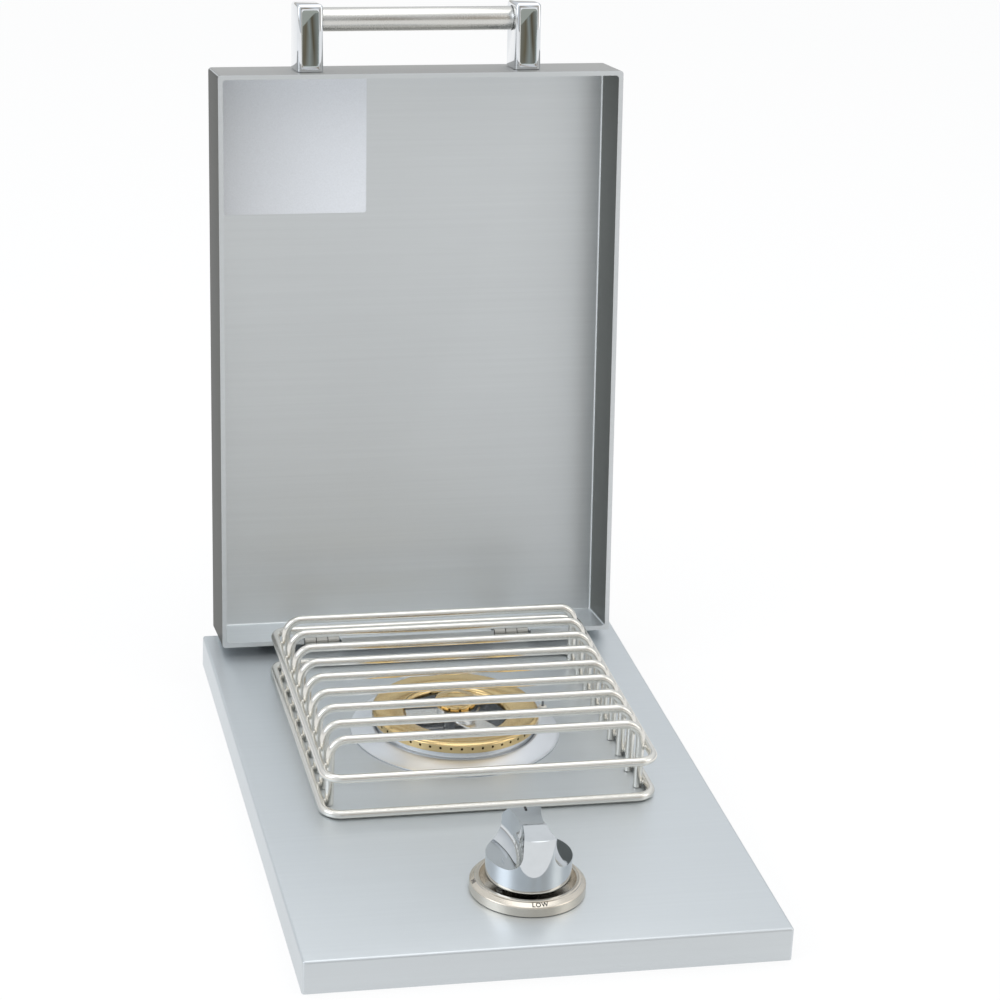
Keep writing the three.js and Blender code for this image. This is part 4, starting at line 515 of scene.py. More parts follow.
def chrome_plate(name, base):
    """Bright chrome on a polished die casting: a mirror with a trace of waviness from the polishing."""
    material, tree, shader = blank_finish(name)
    set_shader(shader, metallic=1, roughness=0.035)
    haze = noise(tree, object_place(tree), 120, 2)
    tint(tree, shader, haze, base, 0.97, 1.02)
    waves = noise(tree, object_place(tree), 70, 0)
    bump = node(tree, "Bump", {"Height": waves, "Strength": 0.1, "Distance": 0.0004})
    tree.links.new(bump.outputs["Normal"], shader.inputs["Normal"])
    return material


def spangled_zinc(name, base):
    """Hot dip galvanised sheet: flat crystals a few millimetres across, dull grey."""
    material, tree, shader = blank_finish(name)
    set_shader(shader, metallic=1, roughness=0.45)
    cells = node(tree, "TexVoronoi", {"Vector": object_place(tree), "Scale": 160}).outputs["Color"]
    tone = node(tree, "RGBToBW", {"Color": cells}).outputs["Val"]
    tint(tree, shader, tone, base, 0.9, 1.08)
    rough = node(tree, "MapRange", {"Value": tone, "To Min": 0.36, "To Max": 0.55})
    tree.links.new(rough.outputs["Result"], shader.inputs["Roughness"])
    return material


def moulded(name, base, roughness, grain=0.0006, specular=0.5):
    """Moulded plastic, rubber, ceramic or film: a fine surface grain."""
    material, tree, shader = blank_finish(name)
    set_shader(shader, metallic=0, roughness=roughness, specular=specular)
    spots = noise(tree, object_place(tree), 1 / grain, 2)
    tint(tree, shader, spots, base, 0.96, 1.03)
    texture(tree, shader, spots, (roughness - 0.05, roughness + 0.05), 0.1, 0.0001)
    return material


def finish(name):
    """The finish of that name, made when it is first asked for."""
    if name in MADE_FINISHES:
        return MADE_FINISHES[name]
    shade = colours()
    makers = {
        "deck_brushed_stainless": lambda n: brushed_stainless(n, shade.deck, 0.42, 0.035),
        "lid_brushed_stainless": lambda n: brushed_stainless(n, shade.lid, 0.42, 0.05),
        # The lid's side walls: a darker copy of the lid's steel with a low edge value, as painted shade
        "lid_wall_stainless": lambda n: brushed_stainless(n, shade.lid_wall, 0.36, 0.05, 0.25),
        # The front wall's outside: a darker copy of the lid's steel, as painted shade
        "lid_front_stainless": lambda n: brushed_stainless(n, shade.lid_front, 0.36, 0.05),
        "drawn_stainless_rod": lambda n: drawn_rod(n, shade.rod),
        "spun_aluminium": lambda n: turned_metal(
            n, shade.bowl, 0.36, BURNER_AXIS, 0.0007, 0.00002, spread=0.02, pull=0.5),
        "sand_cast_aluminium": lambda n: grainy_metal(n, shade.casting, 0.24, 0.0009, 0.00008),
        "turned_brass": lambda n: turned_metal(
            n, shade.brass, 0.14, BURNER_AXIS, 0.0006, 0.00002, spread=0.05),
        "chrome_plate": lambda n: chrome_plate(n, shade.chrome),
        "knob_chrome_plate": lambda n: chrome_plate(n, shade.knob_chrome),
        # A dark copy of the chrome: painted shade for the recess bed in the handle posts
        "smoked_chrome": lambda n: chrome_plate(n, linear("#949A95")),
        "turned_nickel_plate": lambda n: turned_metal(
            n, shade.nickel, 0.2, KNOB_AXIS, 0.0004, 0.00004, pull=0.6),
        "satin_stainless_tube": lambda n: grainy_metal(n, shade.tube, 0.24, 0.0012, 0.00001, 0.02),
        "galvanised_sheet": lambda n: spangled_zinc(n, shade.zinc),
        "drawn_spring_steel": lambda n: grainy_metal(n, linear("#909497"), 0.3, 0.0008, 0.00004),
        "valve_brass": lambda n: grainy_metal(n, linear("#C9A95E"), 0.3, 0.001, 0.00005),
        "pipe_aluminium": lambda n: grainy_metal(n, linear("#C9CCCE"), 0.3, 0.0012, 0.00004),
        "pressed_hinge_steel": lambda n: grainy_metal(n, linear("#B0AFAA"), 0.5, 0.0009, 0.00003),
        "glazed_ceramic": lambda n: moulded(n, linear("#ECE9E2"), 0.25),
        "black_nylon": lambda n: moulded(n, linear("#17181A"), 0.45),
        "nitrile_rubber": lambda n: moulded(n, linear("#1E1F20"), 0.7),
        "silicone_lead": lambda n: moulded(n, linear("#8A2C22"), 0.55),
        "label_film": lambda n: moulded(n, shade.film, 0.6, 0.0012, 0.3),
        "black_enamel": lambda n: moulded(n, linear("#1B1B1C"), 0.4),
    }
    MADE_FINISHES[name] = makers[name](name)
    return MADE_FINISHES[name]


# Nodes of the frame that keep their shape and only get a finish
PLAIN_FINISHES = {
    "galvanised_sheet": [
        "housing_shell", "housing_floor", "burner_support", "burner_screw_1", "burner_screw_2",
        "burner_screw_3", "air_shutter", "mixing_tube"],
    "drawn_spring_steel": [
        "electrode_clip", "valve_screw_left", "valve_screw_right", "valve_stem", "thrust_washer",
        "return_spring", "air_shutter_screw", "hinge_pin_left", "hinge_pin_right"],
    "valve_brass": [
        "gas_valve", "valve_cap", "valve_plug", "gas_jet", "pipe_nut_valve", "pipe_nut_inlet",
        "inlet_fitting", "inlet_locknut"],
    "pipe_aluminium": ["gas_pipe"],
    "pressed_hinge_steel": [
        "hinge_fixed_leaf_left", "hinge_fixed_leaf_right", "hinge_moving_leaf_left",
        "hinge_moving_leaf_right"],
    "black_nylon": ["piezo_igniter", "knob_core"],
    "nitrile_rubber": ["stop_pad_left", "stop_pad_right"],
    "silicone_lead": ["ignition_lead"],
}


def on_deck(x, y, z):
    """A point in millimetres from the deck's middle, front edge and top."""
    return Vector((x * MM, DECK_LOW.y + y * MM, DECK_TOP + z * MM))


def from_burner(x, y, z):
    return BURNER_AXIS + Vector((x, y, z)) * MM


def from_knob(x, y, z):
    return KNOB_AXIS + Vector((x, y, z)) * MM


def in_lid(x, y, z):
    """A point on the closed lid, in millimetres from the hinge axis."""
    return Vector((x, y, z)) * MM


# Deck and lid
def folded_pan(name, low, high, bend, sheet, lip):
    """A box of sheet metal, open at its foot, with bent edges and a rim that is turned in."""
    pan = box_blank(name, low, high)
    foot = low.z
    size = high - low
    with Shaping(pan) as shape:
        shape.choose("faces", lambda f: f.normal.z < -0.5)
        bpy.ops.mesh.delete(type="ONLY_FACE")
        shape.choose("edges", lambda e: not e.is_boundary)
        bpy.ops.mesh.bevel(offset=bend, segments=5, profile=0.5, affect="EDGES")
        shape.choose("edges", lambda e: e.is_boundary)
        bpy.ops.mesh.extrude_edges_move()
        inward = ((size.x - 2 * lip) / size.x, (size.y - 2 * lip) / size.y, 1)
        bpy.ops.transform.resize(value=inward, center_override=(*mid(low, high).xy, foot))
        shape.tidy()
    apply_modifier(pan, "SOLIDIFY", thickness=sheet, offset=-1, use_even_offset=True)
    return pan


def deck_tray():
    size = sizes()
    deck = folded_pan("deck_tray", DECK_LOW, DECK_HIGH, size.sheet_bend, size.sheet, 14 * MM)
    reach = Vector((0, 0, 4 * MM))
    holes = []
    for place, radius in ((BURNER_AXIS, 65), (electrode_foot(), 4.4), (KNOB_AXIS, 6)):
        holes.append(round_blank("hole", radius * MM, place - reach, place + reach, 96))
    carve(deck, [joined("holes", holes)])
    grain_map(deck)
    smooth(deck, 40)
    finish_piece(deck, finish("deck_brushed_stainless"), "base", "deck_steel", "deck_panel")


def lid_pan():
    size = sizes()
    low, high = in_lid(-LID_HALF, LID_FRONT, LID_FOOT), in_lid(LID_HALF, 0, LID_TOP)
    pan = folded_pan("lid_tray", low, high, size.lid_bend, size.lid_sheet, size.lid_hem)
    notches = []
    for x in (-HINGE_PLACE, HINGE_PLACE):
        notches.append(box_blank("notch", in_lid(x - 15, -6, -8), in_lid(x + 15, 3, 6.6)))
    carve(pan, [joined("notches", notches)])
    grain_map(pan)
    smooth(pan, 40)
    # The side walls take the second finish and the front wall's outside the third: darker copies of the
    # lid's steel, as painted shade
    walls = {}
    for face in pan.data.polygons:
        if abs(face.normal.x) > 0.8:
            walls[face.index] = 1
        elif face.normal.y < -0.8 and face.center.y < -0.4:
            walls[face.index] = 2
    open_lid(pan)
    finish_piece(pan, finish("lid_brushed_stainless"), "lid", "lid_steel", "lid_pan")
    pan.data.materials.append(finish("lid_wall_stainless"))
    pan.data.materials.append(finish("lid_front_stainless"))
    for index, slot in walls.items():
        pan.data.polygons[index].material_index = slot


def label():
    """The blank film at the place of a label."""
    film = box_blank("label_film", in_lid(-152.5, -440.1, 50.19), in_lid(-33, -329.6, 50.59))
    with Shaping(film) as shape:
        shape.choose("edges", lambda e: abs(e.verts[0].co.z - e.verts[1].co.z) > 1e-4)
        bpy.ops.mesh.bevel(offset=2 * MM, segments=4, affect="EDGES")
        shape.choose("faces", lambda f: f.normal.z < -0.9)
        bpy.ops.mesh.inset(thickness=0.4 * MM)
    open_lid(film)
    finish_piece(film, finish("label_film"), "lid", "label_foil", "lid_label")


# Grate
def weld_bead(place, stretch):
    """A small hump of weld metal between two rods."""
    deselect()
    bpy.ops.mesh.primitive_uv_sphere_add(segments=12, ring_count=8, radius=sizes().weld, location=place)
    bead = bpy.context.object
    bead.scale = stretch
    return settle(bead)


def grate():
    size = sizes()
    radius = size.rod / 2
    for name, height in RING_HEIGHTS.items():
        corners = [on_deck(x, y, height) for x, y in (
            (0, RING_FRONT), (RING_HALF, RING_FRONT), (RING_HALF, RING_BACK), (-RING_HALF, RING_BACK),
            (-RING_HALF, RING_FRONT), (0, RING_FRONT))]
        ring = bent_rod(
            f"grate_ring_{name}_rod", corners, size.ring_corner, radius, 28, 12, closed=True)
        finish_piece(ring, finish("drawn_stainless_rod"), "grate", "rod_steel", f"grate_ring_{name}")
    for i in range(BAR_COUNT):
        node_low, node_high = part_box(f"grate_bar_{i + 1}")
        y = (node_low.y + node_high.y) / 2 / MM - DECK_LOW.y / MM
        corners = [on_deck(x, y, z) for x, z in (
            (-BAR_HALF, BAR_FOOT), (-BAR_HALF, BAR_TOP), (BAR_HALF, BAR_TOP), (BAR_HALF, BAR_FOOT))]
        bar = bent_rod(f"grate_bar_{i + 1}_rod", corners, size.rod_bend, radius, 28, 12)
        beads = []
        for side in (-1, 1):
            for height in RING_HEIGHTS.values():
                place = on_deck(side * WELD_PLACE, y - 1.6, height + 0.6)
                beads.append(weld_bead(place, (0.9, 0.9, 1.2)))
        joined(bar.name, [bar, *beads])
        smooth(bar, 50)
        finish_piece(bar, finish("drawn_stainless_rod"), "grate", "rod_steel", f"grate_bar_{i + 1}")


# Burner
def electrode_foot():
    low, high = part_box("electrode_insulator")
    return Vector((*mid(low, high).xy, DECK_TOP))


def bowl():
    """The trim ring: a rim on the deck, a slope up to a rolled edge, and the bowl inside it."""
    sheet = 0.8
    roll, floor = (62.4, 4.2), (62.8, -11.5)
    top = [(77.8, 0.3), (77.8, 1.1), (75.4, 1.1),
           *arc(roll, 2.1, 67.5, 180, 12), *arc(floor, 2.5, 180, 270, 5)]
    under = [*arc(floor, 2.5 + sheet, 270, 180, 5), *arc(roll, 2.1 - sheet, 180, 67.5, 8), (75.2, 0.3)]
    trim = turned("bowl_trim", [*top, (16.5, -14), (16.5, -14 - sheet), *under], BURNER_AXIS, 144)
    place = electrode_foot()
    carve(trim, [round_blank("hole", 3.9 * MM, place, place + UP * 14 * MM, 48)])
    smooth(trim, 30)
    finish_piece(trim, finish("spun_aluminium"), "base", "polished_steel", "burner_bowl")


def casting():
    """The burner's cast trough, its three arms and its hub."""
    trough = turned("burner_casting", [
        (41, -13.7), (59.5, -13.7), (60, -13.2), (60, 10.3), (59.6, 10.7), (57.9, 10.7), (57.5, 10.3),
        (57.5, -9.7), (43.5, -9.7), (43.5, 10.3), (43.1, 10.7), (41.4, 10.7), (41, 10.3)],
        BURNER_AXIS, 96)
    hub = turned("hub", [
        (9, -30), (14, -30), (14, 19.9), (13.4, 20.5), (9.6, 20.5), (9, 19.9)], BURNER_AXIS, 64)
    arms = []
    for degrees in (180, 60, -60):
        arm = box_blank("arm", from_burner(11, -10.5, -13.7), from_burner(42.2, 10.5, 7))
        rib = box_blank("rib", from_burner(10, -10, 2), from_burner(37.4, 10, 14))
        soften(rib, 1.6 * MM, 3)
        turn = Matrix.Rotation(math.radians(degrees), 4, "Z")
        about_axis = Matrix.Translation(BURNER_AXIS) @ turn @ Matrix.Translation(-BURNER_AXIS)
        for blank in (arm, rib):
            blank.matrix_world = about_axis
            arms.append(settle(blank))
    carve(trough, [hub, *arms], "UNION")
    drop = round_blank("drop", 15.5 * MM, from_burner(0, 0, -48.5), from_burner(0, 0, -13.7))
    socket = round_blank("socket", 15.5 * MM, from_burner(0, -50, -33), from_burner(0, 0, -33))
    bore = round_blank("bore", 12.3 * MM, from_burner(0, -52, -33), from_burner(0, -35, -33))
    carve(trough, [drop, socket], "UNION")
    carve(trough, [bore, round_blank("well", 9 * MM, from_burner(0, 0, -34), from_burner(0, 0, 22))])
    smooth(trough, 40)
    finish_piece(trough, finish("sand_cast_aluminium"), "base", "cast_aluminium", "burner_body")


def ports(count, radius, start, end, height, first=0.0):
    """A wheel of drills that point away from the burner's axis."""
    drills = []
    for i in range(count):
        turn = math.tau * (i + first) / count
        run = Vector((math.cos(turn), math.sin(turn), 0))
        middle = from_burner(0, 0, height)
        near, far = middle + run * start * MM, middle + run * end * MM
        drills.append(round_blank("drill", radius, near, far, 16))
    return joined("drills", drills)


def brass_ring():
    """The ring over the trough: a sloping crown, a skirt with the ports, and a lip inside."""
    ring = turned("burner_ring_brass", [
        (55.2, 7.5), (57.2, 7.5), (57.2, 11), (61.9, 11), (62.2, 11.3), (62.2, 16.5), (61.9, 17.0),
        (60.4, 18.3), (59.6, 18.5), (41.2, 16.6), (39.8, 16.2), (38.4, 14.8), (38, 14.1), (38, 11.3),
        (38.3, 11), (43.5, 11), (43.5, 15.4), (55.2, 15.6)], BURNER_AXIS, 150)
    radius = sizes().port
    carve(ring, [ports(50, radius, 53.5, 65, 14.6, 0.5), ports(10, radius, 35, 45, 13.2)])
    smooth(ring, 30)
    finish_piece(ring, finish("turned_brass"), "ring", "brass", "burner_ring")


def brass_cap():
    """The cap on the hub: a dished top, a rim with ports, and a stem in the hub's bore."""
    cap = turned("burner_cap_brass", [
        (0, 23.8), (6.7, 23.8), (6.7, 13.8), (8.7, 13.8), (8.7, 20.8), (15, 20.8), (15.3, 21.1),
        (15.3, 25.2), (15, 25.8), (13.2, 26.6), (8.2, 27.4), (7.4, 27.5), (6.8, 27.2), (0, 27)],
        BURNER_AXIS, 96)
    carve(cap, [ports(12, 0.8 * MM, 4, 18, 23)])
    smooth(cap, 30)
    finish_piece(cap, finish("turned_brass"), "cap", "brass", "burner_cap")


def electrode():
    """The spark electrode: a ceramic sleeve, and a wire bent towards the burner."""
    foot = electrode_foot()
    insulator = turned("electrode_ceramic", [
        (1.2, -28), (3.2, -28), (3.2, -12.5), (5.2, -12.5), (5.2, -9), (3.2, -9), (3.2, 7.4),
        *arc((2.2, 7.6), 1.0, 0, 80, 4), (1.2, 8.6)], foot, 48)
    smooth(insulator, 30)
    finish_piece(insulator, finish("glazed_ceramic"), "base", "ceramic", "electrode_insulator")
    knee = foot + UP * 13.5 * MM
    lean = (BURNER_AXIS - foot).normalized() * 3.4 * MM
    wire = bent_rod(
        "electrode_wire", [foot - UP * 27.6 * MM, knee, knee + lean], 2 * MM, 0.9 * MM, 16, 8)
    with Shaping(wire) as shape:
        shape.choose("faces", lambda f: len(f.verts) > 8)
        bpy.ops.mesh.bevel(offset=0.3 * MM, segments=2, affect="EDGES")
    finish_piece(wire, finish("drawn_spring_steel"), "base", "spring_steel", "electrode_pin")


# Knob and bezel
def bezel():
    ring = turned("bezel_ring", [
        (8, 0.3), (39.2, 0.3), (39.5, 0.6), *arc((38.1, 6.4), 1.4, 0, 60, 4), SLOPE_INNER,
        *arc((35.2, 9.2), 1.4, 60, 90, 3), *arc((33.5, 9.7), 0.9, 90, 180, 4), (32.6, 1.8), (8, 1.8)],
        KNOB_AXIS, 128)
    words = []
    for text, degrees in (("LOW", -90), ("HI", 180), ("OFF", 90)):
        words.append(engraved(text, degrees))
    smooth(ring, 30)
    finish_piece(ring, finish("turned_nickel_plate"), "base", "satin_nickel", "bezel")
    letters = joined("bezel_letters", words)
    finish_piece(letters, finish("black_enamel"), "base", "satin_nickel")


def engraved(text, degrees):
    """A word in flat letters, bent round the bezel's slope with its middle at an angle."""
    deselect()
    bpy.ops.object.text_add(location=(0, 0, 0))
    word = bpy.context.object
    word.data.body = text
    word.data.align_x = "CENTER"
    word.data.align_y = "CENTER"
    word.data.size = sizes().letters * 1.42
    word.data.extrude = LETTER_LIFT
    word.data.offset = 0.00011
    word.data.space_character = 1.15
    activate(word)
    bpy.ops.object.convert(target="MESH")
    with Shaping(word) as shape:
        shape.everything()
        bpy.ops.mesh.remove_doubles(threshold=1e-6)
        bpy.ops.mesh.subdivide(number_cuts=1)
    slope = math.atan2(SLOPE_INNER[1] - SLOPE_OUTER[1], SLOPE_OUTER[0] - SLOPE_INNER[0])
    for vertex in word.data.vertices:
        across, along, lift = vertex.co
        turn = across / (LETTER_RADIUS * MM)
        reach = LETTER_RADIUS * MM - along * math.cos(slope) + (lift + LETTER_LIFT) * math.sin(slope)
        rise = LETTER_HEIGHT * MM + along * math.sin(slope) + (lift + LETTER_LIFT) * math.cos(slope)
        angle = math.radians(degrees) + turn
        vertex.co = KNOB_AXIS + Vector((reach * math.cos(angle), reach * math.sin(angle), rise))
    return word


def knob():
    """A round foot that is scooped away on both sides to leave a waisted grip."""
    radius = sizes().knob / MM
    body = turned("knob_casting", [
        (0, 20), (26.6, 20), (26.6, 12), (28.9, 12), (radius, 12.4), (radius, 58), (0, 58)],
        KNOB_AXIS, 144)
    carve(body, [scoop(-1), scoop(1), crown()])
    soften(body, 1.1 * MM, 4, 32)
    smooth(body, 40)
    apply_modifier(body, "WEIGHTED_NORMAL", mode="FACE_AREA", weight=50, keep_sharp=True)
    finish_piece(body, finish("knob_chrome_plate"), "knob", "chrome", "knob_body")
    mark = box_blank("knob_mark", from_knob(-0.8, 14, 50), from_knob(0.8, 18.4, 53.05))
    soften(mark, 0.3 * MM, 2)
    finish_piece(mark, finish("black_enamel"), "knob", "chrome")


def scoop(side):
    """The tool that clears one side of the grip, turned about an upright axis far out at that side."""
    waist, plan = 7.9, 86.0
    axis = from_knob(side * (waist + plan), -5.4, 0)
    profile = [(plan, 62), (plan, 41), *arc((plan - 12, 39.5), 12, 0, -90, 8),
               (plan - 40, 27.5), (plan - 40, 62)]
    cutter = outline("scoop", [axis + Vector((-side * r, 0, z)) * MM for r, z in profile])
    with Shaping(cutter) as shape:
        shape.everything()
        bpy.ops.mesh.edge_face_add()
        shape.everything()
        bpy.ops.transform.rotate(value=math.radians(-32), orient_axis="Z", center_override=axis)
        bpy.ops.mesh.spin(steps=40, angle=math.radians(64), center=axis, axis=UP)
        shape.tidy()
    return cutter


def crown():
    """The tool that leaves the grip's sloping top: a block whose underside follows its profile."""
    reach = 34
    profile = [
        (-reach, 49.6), (-28.5, 51.6), (-11, 54.7), (-7, 53.2), (-2, 52.4), (6, 52.2), (18.5, 52.5),
        (24, 47), (30, 36), (reach, 30), (reach, 64), (-reach, 64)]
    cutter = outline("crown", [from_knob(-reach, y, z) for y, z in profile])
    with Shaping(cutter) as shape:
        shape.everything()
        bpy.ops.mesh.edge_face_add()
        bpy.ops.mesh.extrude_region_move(TRANSFORM_OT_translate={"value": (2 * reach * MM, 0, 0)})
        shape.tidy()
    return cutter


# Handle
def handle():
    """Two posts with a recess in the side that faces down, and the tube between their sockets."""
    for name, side in (("left", -1), ("right", 1)):
        x = side * POST_PLACE
        low = in_lid(x - POST_HALF, POST_OUTER, POST_LOW)
        high = in_lid(x + POST_HALF, POST_INNER, POST_HIGH)
        post = box_blank(f"handle_post_{name}_casting", low, high)
        with Shaping(post) as shape:
            shape.choose("edges", lambda e: middle_of(e).y < high.y - 1 * MM)
            bpy.ops.mesh.bevel(offset=3 * MM, segments=5, affect="EDGES")
        panel = box_blank("panel", in_lid(x - 6.3, -488.4, 4), in_lid(x + 6.3, -446.9, POST_RECESS))
        with Shaping(panel) as shape:
            shape.choose("edges", lambda e: abs(e.verts[0].co.z - e.verts[1].co.z) > 1 * MM)
            bpy.ops.mesh.bevel(offset=2 * MM, segments=4, affect="EDGES")
        inner = x - side * POST_HALF
        ends = [in_lid(end, TUBE_Y, TUBE_Z) for end in sorted((inner - side * 2, inner + side * 4))]
        carve(post, [panel, round_blank("socket", 9.3 * MM, *ends)])
        soften(post, 0.35 * MM, 2, 50)
        smooth(post, 35)
        bed = POST_RECESS * MM
        recess = [face.index for face in post.data.polygons
                  if abs(face.center.z - bed) < 0.2 * MM and face.normal.z < -0.9]
        open_lid(post)
        finish_piece(post, finish("chrome_plate"), "lid", "chrome", f"handle_post_{name}")
        # The recess bed takes the dark chrome: painted shade in the recess
        post.data.materials.append(finish("smoked_chrome"))
        for index in recess:
            post.data.polygons[index].material_index = 1
    ends = [in_lid(x, TUBE_Y, TUBE_Z) for x in (-TUBE_HALF, TUBE_HALF)]
    tube = round_blank("handle_bar", TUBE_RADIUS * MM, *ends, 64)
    soften(tube, 0.6 * MM, 2, 60)
    smooth(tube, 35)
    open_lid(tube)
    finish_piece(tube, finish("satin_stainless_tube"), "lid", "satin_tube", "handle_tube")


def kept_nodes():
    """Finishes for the frame's nodes that keep their shape."""
    for name, nodes in PLAIN_FINISHES.items():
        for node_name in nodes:
            obj = frame["nodes"][node_name]
            for slot in obj.material_slots:
                slot.material = finish(name)
            for face in obj.data.polygons:
                face.use_smooth = False


# Studio
def worktop_finish():
    """White laminate: it shows as the white background, and keeps the burner's shadow."""
    material, tree, shader = blank_finish("white_laminate")
    set_shader(shader, roughness=0.6, metallic=0, specular=0.2)
    spots = noise(tree, object_place(tree), 9, 2)
    tint(tree, shader, spots, colours().worktop, 0.995, 1.0)
    path = node(tree, "LightPath").outputs
    seen = path["Is Camera Ray"]
    for ray in ("Is Glossy Ray", "Is Transmission Ray"):
        seen = node(tree, "Math", {0: seen, 1: path[ray]}, operation="MAXIMUM").outputs[0]
    # The rest of the surface is lit by the lamps, so the burner's shadow shows on it
    share = node(tree, "Math", {0: seen, 1: 0.82}, operation="MULTIPLY").outputs[0]
    white = node(tree, "Emission", {"Color": (1, 1, 1, 1), "Strength": 1.0}).outputs[0]
    mixed = node(tree, "MixShader", {"Fac": share, 1: shader.outputs[0], 2: white})
    output = next(n for n in tree.nodes if n.type == "OUTPUT_MATERIAL")
    tree.links.new(mixed.outputs[0], output.inputs["Surface"])
    return material


def worktop():
    """A pale worktop round the housing, with its cut-out."""
    low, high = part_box("housing_shell")
    height = DECK_LOW.z - 0.0002
    deselect()
    bpy.ops.mesh.primitive_plane_add(size=1, location=(0, (low.y + high.y) / 2, height))
    bpy.context.object.scale = (high.x - low.x + 0.005, high.y - low.y + 0.005, 1)
    top = settle(bpy.context.object, "worktop")
    with Shaping(top) as shape:
        shape.everything()
        bpy.ops.mesh.extrude_edges_move()
        bpy.ops.transform.resize(value=(200, 120, 1), center_override=(0, 0, height))
        shape.choose("faces", lambda f: f.calc_area() < 0.3)
        bpy.ops.mesh.delete(type="FACE")
    top.data.materials.append(worktop_finish())


def world():
    """A pale room: white overhead, and darker and browner low down and in front of the burner."""
    room = bpy.data.worlds.new("pale_room")
    bpy.context.scene.world = room
    room.use_nodes = True
    tree = room.node_tree
    tree.nodes.clear()
    view = node(tree, "TexCoord").outputs["Generated"]
    height = node(tree, "SeparateXYZ", {"Vector": view}).outputs["Z"]
    front, side = (
        node(tree, "VectorMath", {0: view, 1: facing}, operation="DOT_PRODUCT").outputs["Value"]
        for facing in ((0.25, -0.968, 0), (0.968, 0.25, 0)))
    raised, across, near, low = (
        node(tree, "MapRange", {"Value": value, "From Min": start, "From Max": end}).outputs["Result"]
        for value, start, end in (
            (height, -1.0, 1.0), (side, -1.0, 1.0), (front, 0.35, 0.8), (height, 0.75, 0.25)))
    walls = colour_stops(tree, raised, (
        (0.0, "#A6A39C"), (0.5, "#B4B0A8"), (0.56, "#D3D7DC"), (0.8, "#F4F6F8")))
    doorway = colour_stops(tree, across, (
        (0.0, "#E4EAF0"), (0.3, "#C9CDD0"), (0.42, "#8D7F6C"), (0.5, "#D9DEE3"), (0.58, "#A39684"),
        (0.8, "#DDE2E6")))
    share = node(tree, "Math", {0: near, 1: low}, operation="MULTIPLY").outputs[0]
    both = node(tree, "Mix", {"Factor": share, "A": walls, "B": doorway}, data_type="RGBA")
    glow = node(tree, "Background", {"Color": both.outputs["Result"], "Strength": 0.98})
    node(tree, "OutputWorld", {"Surface": glow.outputs[0]})


def colour_stops(tree, factor, stops):
    """A colour ramp through hex colours at places from 0 to 1."""
    ramp = node(tree, "ValToRGB", {"Fac": factor})
    while len(ramp.color_ramp.elements) < len(stops):
        ramp.color_ramp.elements.new(0.5)
    for element, (place, shade) in zip(ramp.color_ramp.elements, stops):
        element.position = place
        element.color = (*linear(shade), 1)
    return ramp.outputs["Color"]


def lamp(name, place, target, size, watts, shade="#FFFFFF"):
    """A soft rectangular lamp that faces a target."""
    data = bpy.data.lights.new(name, "AREA")
    data.shape = "RECTANGLE"
    data.size, data.size_y = size
    data.energy = watts
    data.color = linear(shade)
    obj = bpy.data.objects.new(name, data)
    bpy.context.scene.collection.objects.link(obj)
    obj.location = place
    obj.rotation_euler = (Vector(target) - Vector(place)).to_track_quat("-Z", "Y").to_euler()


def lamps():
    middle = (0, 0.05, 0.15)
    lamp("overhead", (0.1, 0.1, 2.4), middle, (2.2, 2.2), 14)
    lamp("left_window", (-2.2, -0.6, 1.4), middle, (1.6, 1.6), 14, "#F4F8FF")
    lamp("right_wall", (2.0, -1.0, 1.2), middle, (1.2, 1.6), 6, "#FFF8EE")


def camera():
    """The photograph's camera, solved from the corners of the deck and the lid."""
    data = bpy.data.cameras.new("camera")
    data.lens = 110.26
    data.sensor_width = 36
    data.shift_x = 0.06
    data.shift_y = 0.06
    data.clip_end = 100
    obj = bpy.data.objects.new("camera", data)
    bpy.context.scene.collection.objects.link(obj)
    right = Vector((0.97988561, -0.19591672, 0.03795824))
    up = Vector((0.04256067, 0.39100085, 0.91940574))
    back = Vector((-0.19496867, -0.89929693, 0.39147446))
    turn = Matrix((right, up, back)).transposed().to_4x4()
    obj.matrix_world = Matrix.Translation((-0.450818, -1.937790, 1.105238)) @ turn
    bpy.context.scene.camera = obj


class Step:
    """What the operators share: each runs its functions in turn."""

    makes = ()

    def execute(self, context):
        for make in self.makes:
            make()
        return {"FINISHED"}


class StageOperator(Step, bpy.types.Operator):
    """Builds the worktop, the room, the lamps and the camera."""

    bl_idname = "side_burner.stage"
    bl_label = "Stage"

    def execute(self, context):
        bpy.context.scene.view_settings.view_transform = "Standard"
        worktop()
        world()
        lamps()
        camera()
        return {"FINISHED"}


class DeckOperator(Step, bpy.types.Operator):
    """Models the deck's tray with its holes."""

    bl_idname = "side_burner.deck"
    bl_label = "Deck"
    makes = (deck_tray,)


class LidOperator(Step, bpy.types.Operator):
    """Models the lid and the blank film in it."""

    bl_idname = "side_burner.lid"
    bl_label = "Lid"
    makes = (lid_pan, label)


class GrateOperator(Step, bpy.types.Operator):
    """Models the grate's rings, bars and welds."""

    bl_idname = "side_burner.grate"
    bl_label = "Grate"
    makes = (grate,)


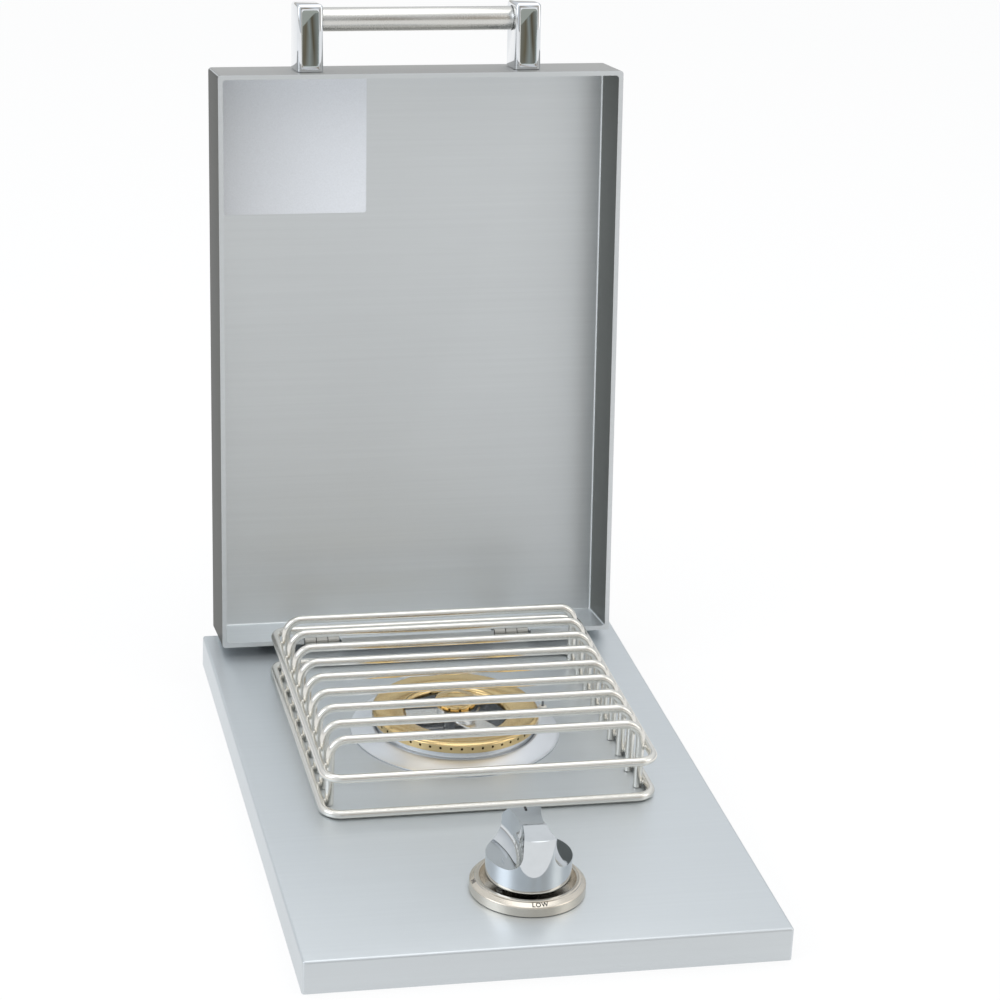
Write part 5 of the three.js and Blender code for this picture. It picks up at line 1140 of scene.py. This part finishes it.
class BurnerOperator(Step, bpy.types.Operator):
    """Models the bowl, the casting, the brass ring and cap, and the electrode."""

    bl_idname = "side_burner.burner"
    bl_label = "Burner"
    makes = (bowl, casting, brass_ring, brass_cap, electrode)


class KnobOperator(Step, bpy.types.Operator):
    """Models the knob and its lettered bezel."""

    bl_idname = "side_burner.knob"
    bl_label = "Knob"
    makes = (bezel, knob)


class HandleOperator(Step, bpy.types.Operator):
    """Models the handle's posts and tube."""

    bl_idname = "side_burner.handle"
    bl_label = "Handle"
    makes = (handle,)


class InnerPartsOperator(Step, bpy.types.Operator):
    """Finishes the parts that keep their shape."""

    bl_idname = "side_burner.inner_parts"
    bl_label = "Inner parts"
    makes = (kept_nodes,)


STEPS = (StageOperator, DeckOperator, LidOperator, GrateOperator, BurnerOperator, KnobOperator,
         HandleOperator, InnerPartsOperator)


class VIEW3D_PT_side_burner(bpy.types.Panel):
    """Sizes, colours and steps of the side burner."""

    bl_label = "Side burner"
    bl_space_type = "VIEW_3D"
    bl_region_type = "UI"
    bl_category = "Side burner"

    def draw(self, context):
        column = self.layout.column(align=True)
        for step in STEPS:
            column.operator(step.bl_idname)
        for settings in (context.scene.side_burner_sizes, context.scene.side_burner_colours):
            for name in settings.bl_rna.properties.keys():
                if name not in ("name", "rna_type"):
                    self.layout.prop(settings, name)


CLASSES = (SideBurnerSizes, SideBurnerColours, *STEPS, VIEW3D_PT_side_burner)


def register():
    for cls in CLASSES:
        bpy.utils.register_class(cls)
    bpy.types.Scene.side_burner_sizes = bpy.props.PointerProperty(type=SideBurnerSizes)
    bpy.types.Scene.side_burner_colours = bpy.props.PointerProperty(type=SideBurnerColours)


def unregister():
    del bpy.types.Scene.side_burner_colours
    del bpy.types.Scene.side_burner_sizes
    for cls in reversed(CLASSES):
        bpy.utils.unregister_class(cls)


def main():
    register()
    bpy.ops.side_burner.stage()
    bpy.ops.side_burner.deck()
    bpy.ops.side_burner.lid()
    bpy.ops.side_burner.grate()
    bpy.ops.side_burner.burner()
    bpy.ops.side_burner.knob()
    bpy.ops.side_burner.handle()
    bpy.ops.side_burner.inner_parts()


if __name__ == "__main__":
    main()
